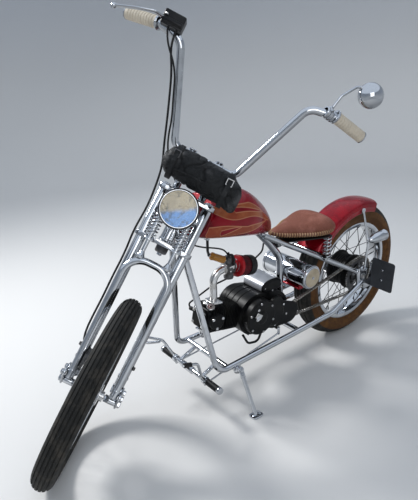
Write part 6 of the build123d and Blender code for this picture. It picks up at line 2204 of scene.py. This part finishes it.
@dataclass
class ToolRoll:
    """The dark tool roll strapped under the bars, with its flap, straps and buckles."""

    # y, u, n, height and depth of each section
    sections: tuple = ((-118, 792, 154, 52, 50), (-94, 794, 154, 98, 78), (0, 796, 155, 112, 88),
                       (96, 787, 154, 114, 88), (142, 774, 152, 104, 72), (160, 766, 151, 72, 36))

    def build(self, shop: Shop) -> None:
        """Makes the roll and its straps."""
        rng = random.Random(7)
        rings = []
        rows = self.sections
        for i, (first, last) in enumerate(zip(rows, rows[1:])):
            steps = 4 if i in (0, 4) else 8
            for k in range(steps + (i == len(rows) - 2)):
                t = k / steps
                e = t * t * (3 - 2 * t)
                y, u, n, high, deep = (a + (b - a) * (e if j else t)
                                       for j, (a, b) in enumerate(zip(first, last)))
                sag = 1 + 0.05 * math.sin(y / 19.0) + rng.uniform(-0.012, 0.012)
                ring = []
                for angle in turns(36):
                    c, s = math.cos(angle), math.sin(angle)
                    fold = 1 + 0.045 * math.sin(3 * angle + y / 26.0) + 0.02 * math.sin(7 * angle - y / 15.0)
                    ring.append(Vector((n + (deep / 2 - 3) * signed(c, 0.86) * fold * sag, y,
                                        u + (high / 2 - 3) * signed(s, 0.86) * fold)))
                rings.append(ring)
        roll = Form().rings(rings).object("tool_roll_bag", FORK, 80)
        swell(roll, 0.006, 0.003, 3.0, 0.0065)
        shop.hang(roll, Body.STEERING, [Finish.BAG], ["tool_roll"])
        self._straps(shop)

    def _straps(self, shop: Shop) -> None:
        """Two straps round the roll and the bar, each with its buckle and loose end, and the flap's hem."""
        form = Form()
        for y, u, deep, high, buckle in ((-80, 793, 43, 54, 2), (104, 786, 45.5, 57, 1)):
            form.use(0)
            around = [Vector((154 + deep * signed(math.cos(a), 0.9), y, u + high * signed(math.sin(a), 0.9)))
                      for a in turns(48)]
            self._band(form, around, 8, 1.5, closed=True)
            self._band(form, [Vector((86, 0, 848)) + ray(a, 15.2, y) for a in turns(28)], 8, 1.5, closed=True)
            front = Vector((155 + deep, y, u + 22))
            form.use(buckle)
            for aside in (-10, 10):
                form.block(front + Vector((0, 0, aside)), (2.6, 22, 2.4), bevel=0.8)
            for aside in (-10, 10):
                form.block(front + Vector((0, aside, 0)), (2.6, 2.4, 22), bevel=0.8)
            tail = [front + Vector((x, 0, -z)) for x, z in ((1, 8), (2.5, 26), (-3, 48), (-14, 62))]
            self._band(form.use(0), bent_path(tail, (20, 20), 10), 7, 1.2)
        hem = []
        for k in range(40):
            y = -104 + 240 * k / 39
            hem.append(Vector((197 - 0.0011 * (y - 10) ** 2, y, 772 - 0.0004 * (y - 10) ** 2)))
        form.tube(hem, 2.2, 8)
        shop.make(form, "tool_roll_straps", Body.STEERING, [Finish.BAG, Finish.SATIN_STEEL, Finish.IRON])

    @staticmethod
    def _band(form: Form, line: Sequence[Vector], half: float, thick: float, closed: bool = False) -> None:
        """A flat strap along a line that lies square to the left direction."""
        left = Vector((0, half, 0))
        rings = []
        count = len(line)
        for i, point in enumerate(line):
            before = line[i - 1] if i or closed else point
            after = line[(i + 1) % count] if i < count - 1 or closed else point
            out = (after - before).normalized().cross(left).normalized() * thick
            rings.append([point - left - out, point + left - out, point + left + out, point - left + out])
        form.rings(rings, closed)


@dataclass
class Cables:
    """The brake hose and the throttle cable, each a smooth free line between its two ends."""

    # (up the steering axis, ahead, left) of each point in the fork's millimetres
    hose: tuple = ((1131, 224, -240), (1090, 220, -240), (1034, 180, -208), (964, 152, -182),
                   (900, 122, -160), (838, 100, -140), (778, 86, -116), (716, 78, -107), (636, 73, -101),
                   (550, 77, -107), (466, 73, -100), (380, 70, -102), (300, 74, -100), (226, 72, -102),
                   (166, 78, -99), (130, 79, -84), (116, 80, -58))
    upper: tuple = ((1131, 222, -268), (1094, 230, -256), (1040, 192, -198), (972, 162, -172),
                    (912, 136, -148), (872, 108, -140), (836, 70, -128), (800, 40, -104), (765, 18, -70),
                    (731, 14, -30))
    # the same on the frame, in the upright machine's (forward, left, up)
    lower: tuple = ((972, -30, 786), (962, -32, 744), (916, -28, 704), (862, -14, 676), (806, 4, 664),
                    (768, 14, 648), (757, 16, 622))

    def build(self, shop: Shop) -> None:
        """Lays the hose and the two runs of the cable."""
        for name, rows, diameter, length in (("brake_hose", self.hose, 7.0, 1.085),
                                             ("throttle_cable_upper", self.upper, 6.0, 0.533)):
            points = [FORK @ Vector((n, y, u)) for u, n, y in rows]
            self._lay(shop, name, Body.STEERING, points, diameter, length, ["control_cables"])
        points = [CHASSIS @ Vector(row) for row in self.lower]
        self._lay(shop, "throttle_cable_lower", Body.CHASSIS, points, 6.0, 0.294, ["engine_lines"])

    @staticmethod
    def _lay(shop: Shop, name: str, body: Body, points: Sequence[Vector], diameter: float, length: float,
             replaces: Sequence[str]) -> None:
        """One cord as a smooth curve through the space of its route."""
        curve = bpy.data.curves.new(name, "CURVE")
        curve.dimensions = "3D"
        curve.bevel_depth = diameter / 2 * MM
        curve.bevel_resolution = 5
        curve.resolution_u = 12
        curve.use_fill_caps = True
        spline = curve.splines.new("NURBS")
        spline.points.add(len(points) - 1)
        for target, point in zip(spline.points, points):
            target.co = (*point, 1.0)
        spline.order_u = 3
        spline.use_endpoint_u = True
        made = bpy.data.objects.new(name, curve)
        bpy.context.scene.collection.objects.link(made)
        shop.hang(made, body, [Finish.BLACK_RUBBER], replaces)
        tuple(points[0])
        diameter * MM


@dataclass
class FrontBrake:
    """The drilled disc of the front brake, on its arms."""

    centre: tuple = (67.0, -50.0, 0.0)

    def build(self, shop: Shop) -> None:
        """Makes the disc."""
        centre = Vector(self.centre)
        form = Form()
        rim = mirrored([(60, -1.9), (61, -2.1), (109, -2.1), (109.8, -1.6)])
        form.lathe(rim, centre, steps=120, closed=True)
        form.lathe([(18.2, -2), (34, -2), (34, 2), (18.2, 2)], centre, steps=64, closed=True)
        for angle in turns(6):
            arm = ray(angle + 0.12)
            form.block(centre + arm * 47, (30, 14, 4), arm, (0, 1, 0), 1.0)
        form.use(1)
        for row, radius in enumerate((72, 86, 99)):
            for k in range(20):
                form.pin(centre + ray(2 * math.pi * (k + row * 0.33) / 20, radius), 2.25, 3.2, 12)
        shop.make(form, "drilled_disc", Body.FRONT_WHEEL, [Finish.SATIN_STEEL, Finish.IRON],
                  ["front_brake_disc"])


# The picture


@dataclass
class Studio:
    """The camera, the floor and the lamps.

    Attributes:
        eye: the camera's place in metres.
        yaw: degrees of its look about the upright.
        pitch: degrees of its look above level.
        roll: degrees that it is turned about its look.
        focal_px: the focal length in pixels of a 500 pixel high picture.
        centre_px: how far the look's centre lies below the picture's middle, in pixels.
    """

    eye: tuple = (1.2971, 1.3791, 1.2556)
    yaw: float = -126.9
    pitch: float = -21.363
    roll: float = -4.3136
    focal_px: float = 527.756
    centre_px: float = 30.637

    def build(self) -> None:
        """Makes the camera, the floor and the lamps."""
        scene = bpy.context.scene
        scene.view_settings.view_transform = "Standard"
        yaw, pitch, roll = (math.radians(a) for a in (self.yaw, self.pitch, self.roll))
        look = Vector((math.cos(yaw) * math.cos(pitch), math.sin(yaw) * math.cos(pitch), math.sin(pitch)))
        side = Vector((math.sin(yaw), -math.cos(yaw), 0))
        rise = side.cross(look)
        right = side * math.cos(roll) + rise * math.sin(roll)
        up = rise * math.cos(roll) - side * math.sin(roll)
        data = bpy.data.cameras.new("camera")
        data.lens = self.focal_px / 500 * data.sensor_width
        data.shift_y = self.centre_px / 500
        camera = bpy.data.objects.new("camera", data)
        turned = Matrix((right, up, -look)).transposed().to_4x4()
        camera.matrix_world = Matrix.Translation(Vector(self.eye)) @ turned
        scene.collection.objects.link(camera)
        scene.camera = camera
        self._floor()
        self._lamps()

    @staticmethod
    def _floor() -> None:
        """A pale floor that sweeps up into a round backdrop."""
        reach, bend, top = 6500.0, 1500.0, 5000.0
        profile = [(0.01, 0.0), (reach - bend, 0.0)]
        for angle in (math.pi / 2 * k / 16 for k in range(1, 17)):
            profile.append((reach - bend + bend * math.sin(angle), bend - bend * math.cos(angle)))
        profile.append((reach, top))
        rings = [[Vector((r * math.cos(a), r * math.sin(a), z)) for a in turns(96)] for r, z in profile]
        floor = Form().rings(rings, caps=False).object("floor", TO_METRES, 60)
        shader = Shader("floor")
        rise = shader.along((0, 0, 1)).step(0.4, 3.2)
        shader.set(Base_Color=shader.mix(rise, (0.72, 0.71, 0.69), (0.46, 0.48, 0.51)), Roughness=0.9)
        floor.data.materials.append(shader.material)

    @staticmethod
    def _lamps() -> None:
        """A soft key lamp, a fill and a pale world."""
        world = bpy.data.worlds.new("world")
        world.use_nodes = True
        background = world.node_tree.nodes["Background"]
        background.inputs[0].default_value = (0.78, 0.87, 1.0, 1)
        background.inputs[1].default_value = 0.8
        bpy.context.scene.world = world
        for name, place, size, power in (("key", (1.2, -2.2, 3.0), 0.8, 96),
                                         ("fill", (1.5, 3.0, 2.2), 2.0, 22)):
            data = bpy.data.lights.new(name, "AREA")
            data.size = size
            data.energy = power
            lamp = bpy.data.objects.new(name, data)
            lamp.location = place
            lamp.rotation_euler = (Vector(place) - Vector((0, 0, 0.5))).to_track_quat("Z", "Y").to_euler()
            bpy.context.scene.collection.objects.link(lamp)


def main() -> None:
    """Dresses the machine, piece by piece, and sets the picture."""
    logging.basicConfig(level=logging.INFO, format="%(message)s")
    palette = Palette()
    slots = {finish.slot: finish for finish in reversed(Finish)}
    for sub in frame["record"]["subparts"]:
        materials = frame["nodes"][sub["node"]].data.materials
        materials.clear()
        materials.append(palette[slots[sub["material_slot"]]])
    shop = Shop(palette)
    engine = Engine()
    for assembly in (
            FrontWheel("front", Body.FRONT_WHEEL, (67, 0, 0), 340, 37, 267, 24, (-24, -12, 0, 12, 24),
                       (3.2, 3.5), 32, 33, (Finish.TYRE,)),
            RearWheel("rear", Body.REAR_WHEEL, (0, 0, 330), 330, 56, 229, 40, (-38, -19, 0, 19, 38),
                      (4.5, 4.5), 79, 39, (Finish.TYRE, Finish.TYRE_BROWN)),
            Cables(), SpringerFork(), Headlamp(), Bars(), FrontBrake(), ToolRoll(), FrameTubes(), FootGear(),
            Tank(), Saddle(), RearEnd(), Drive(), engine, Intake(engine), Exhaust(engine)):
        assembly.build(shop)
        LOG.info("%s done", type(assembly).__name__)
    Studio().build()


if __name__ == "__main__":
    main()
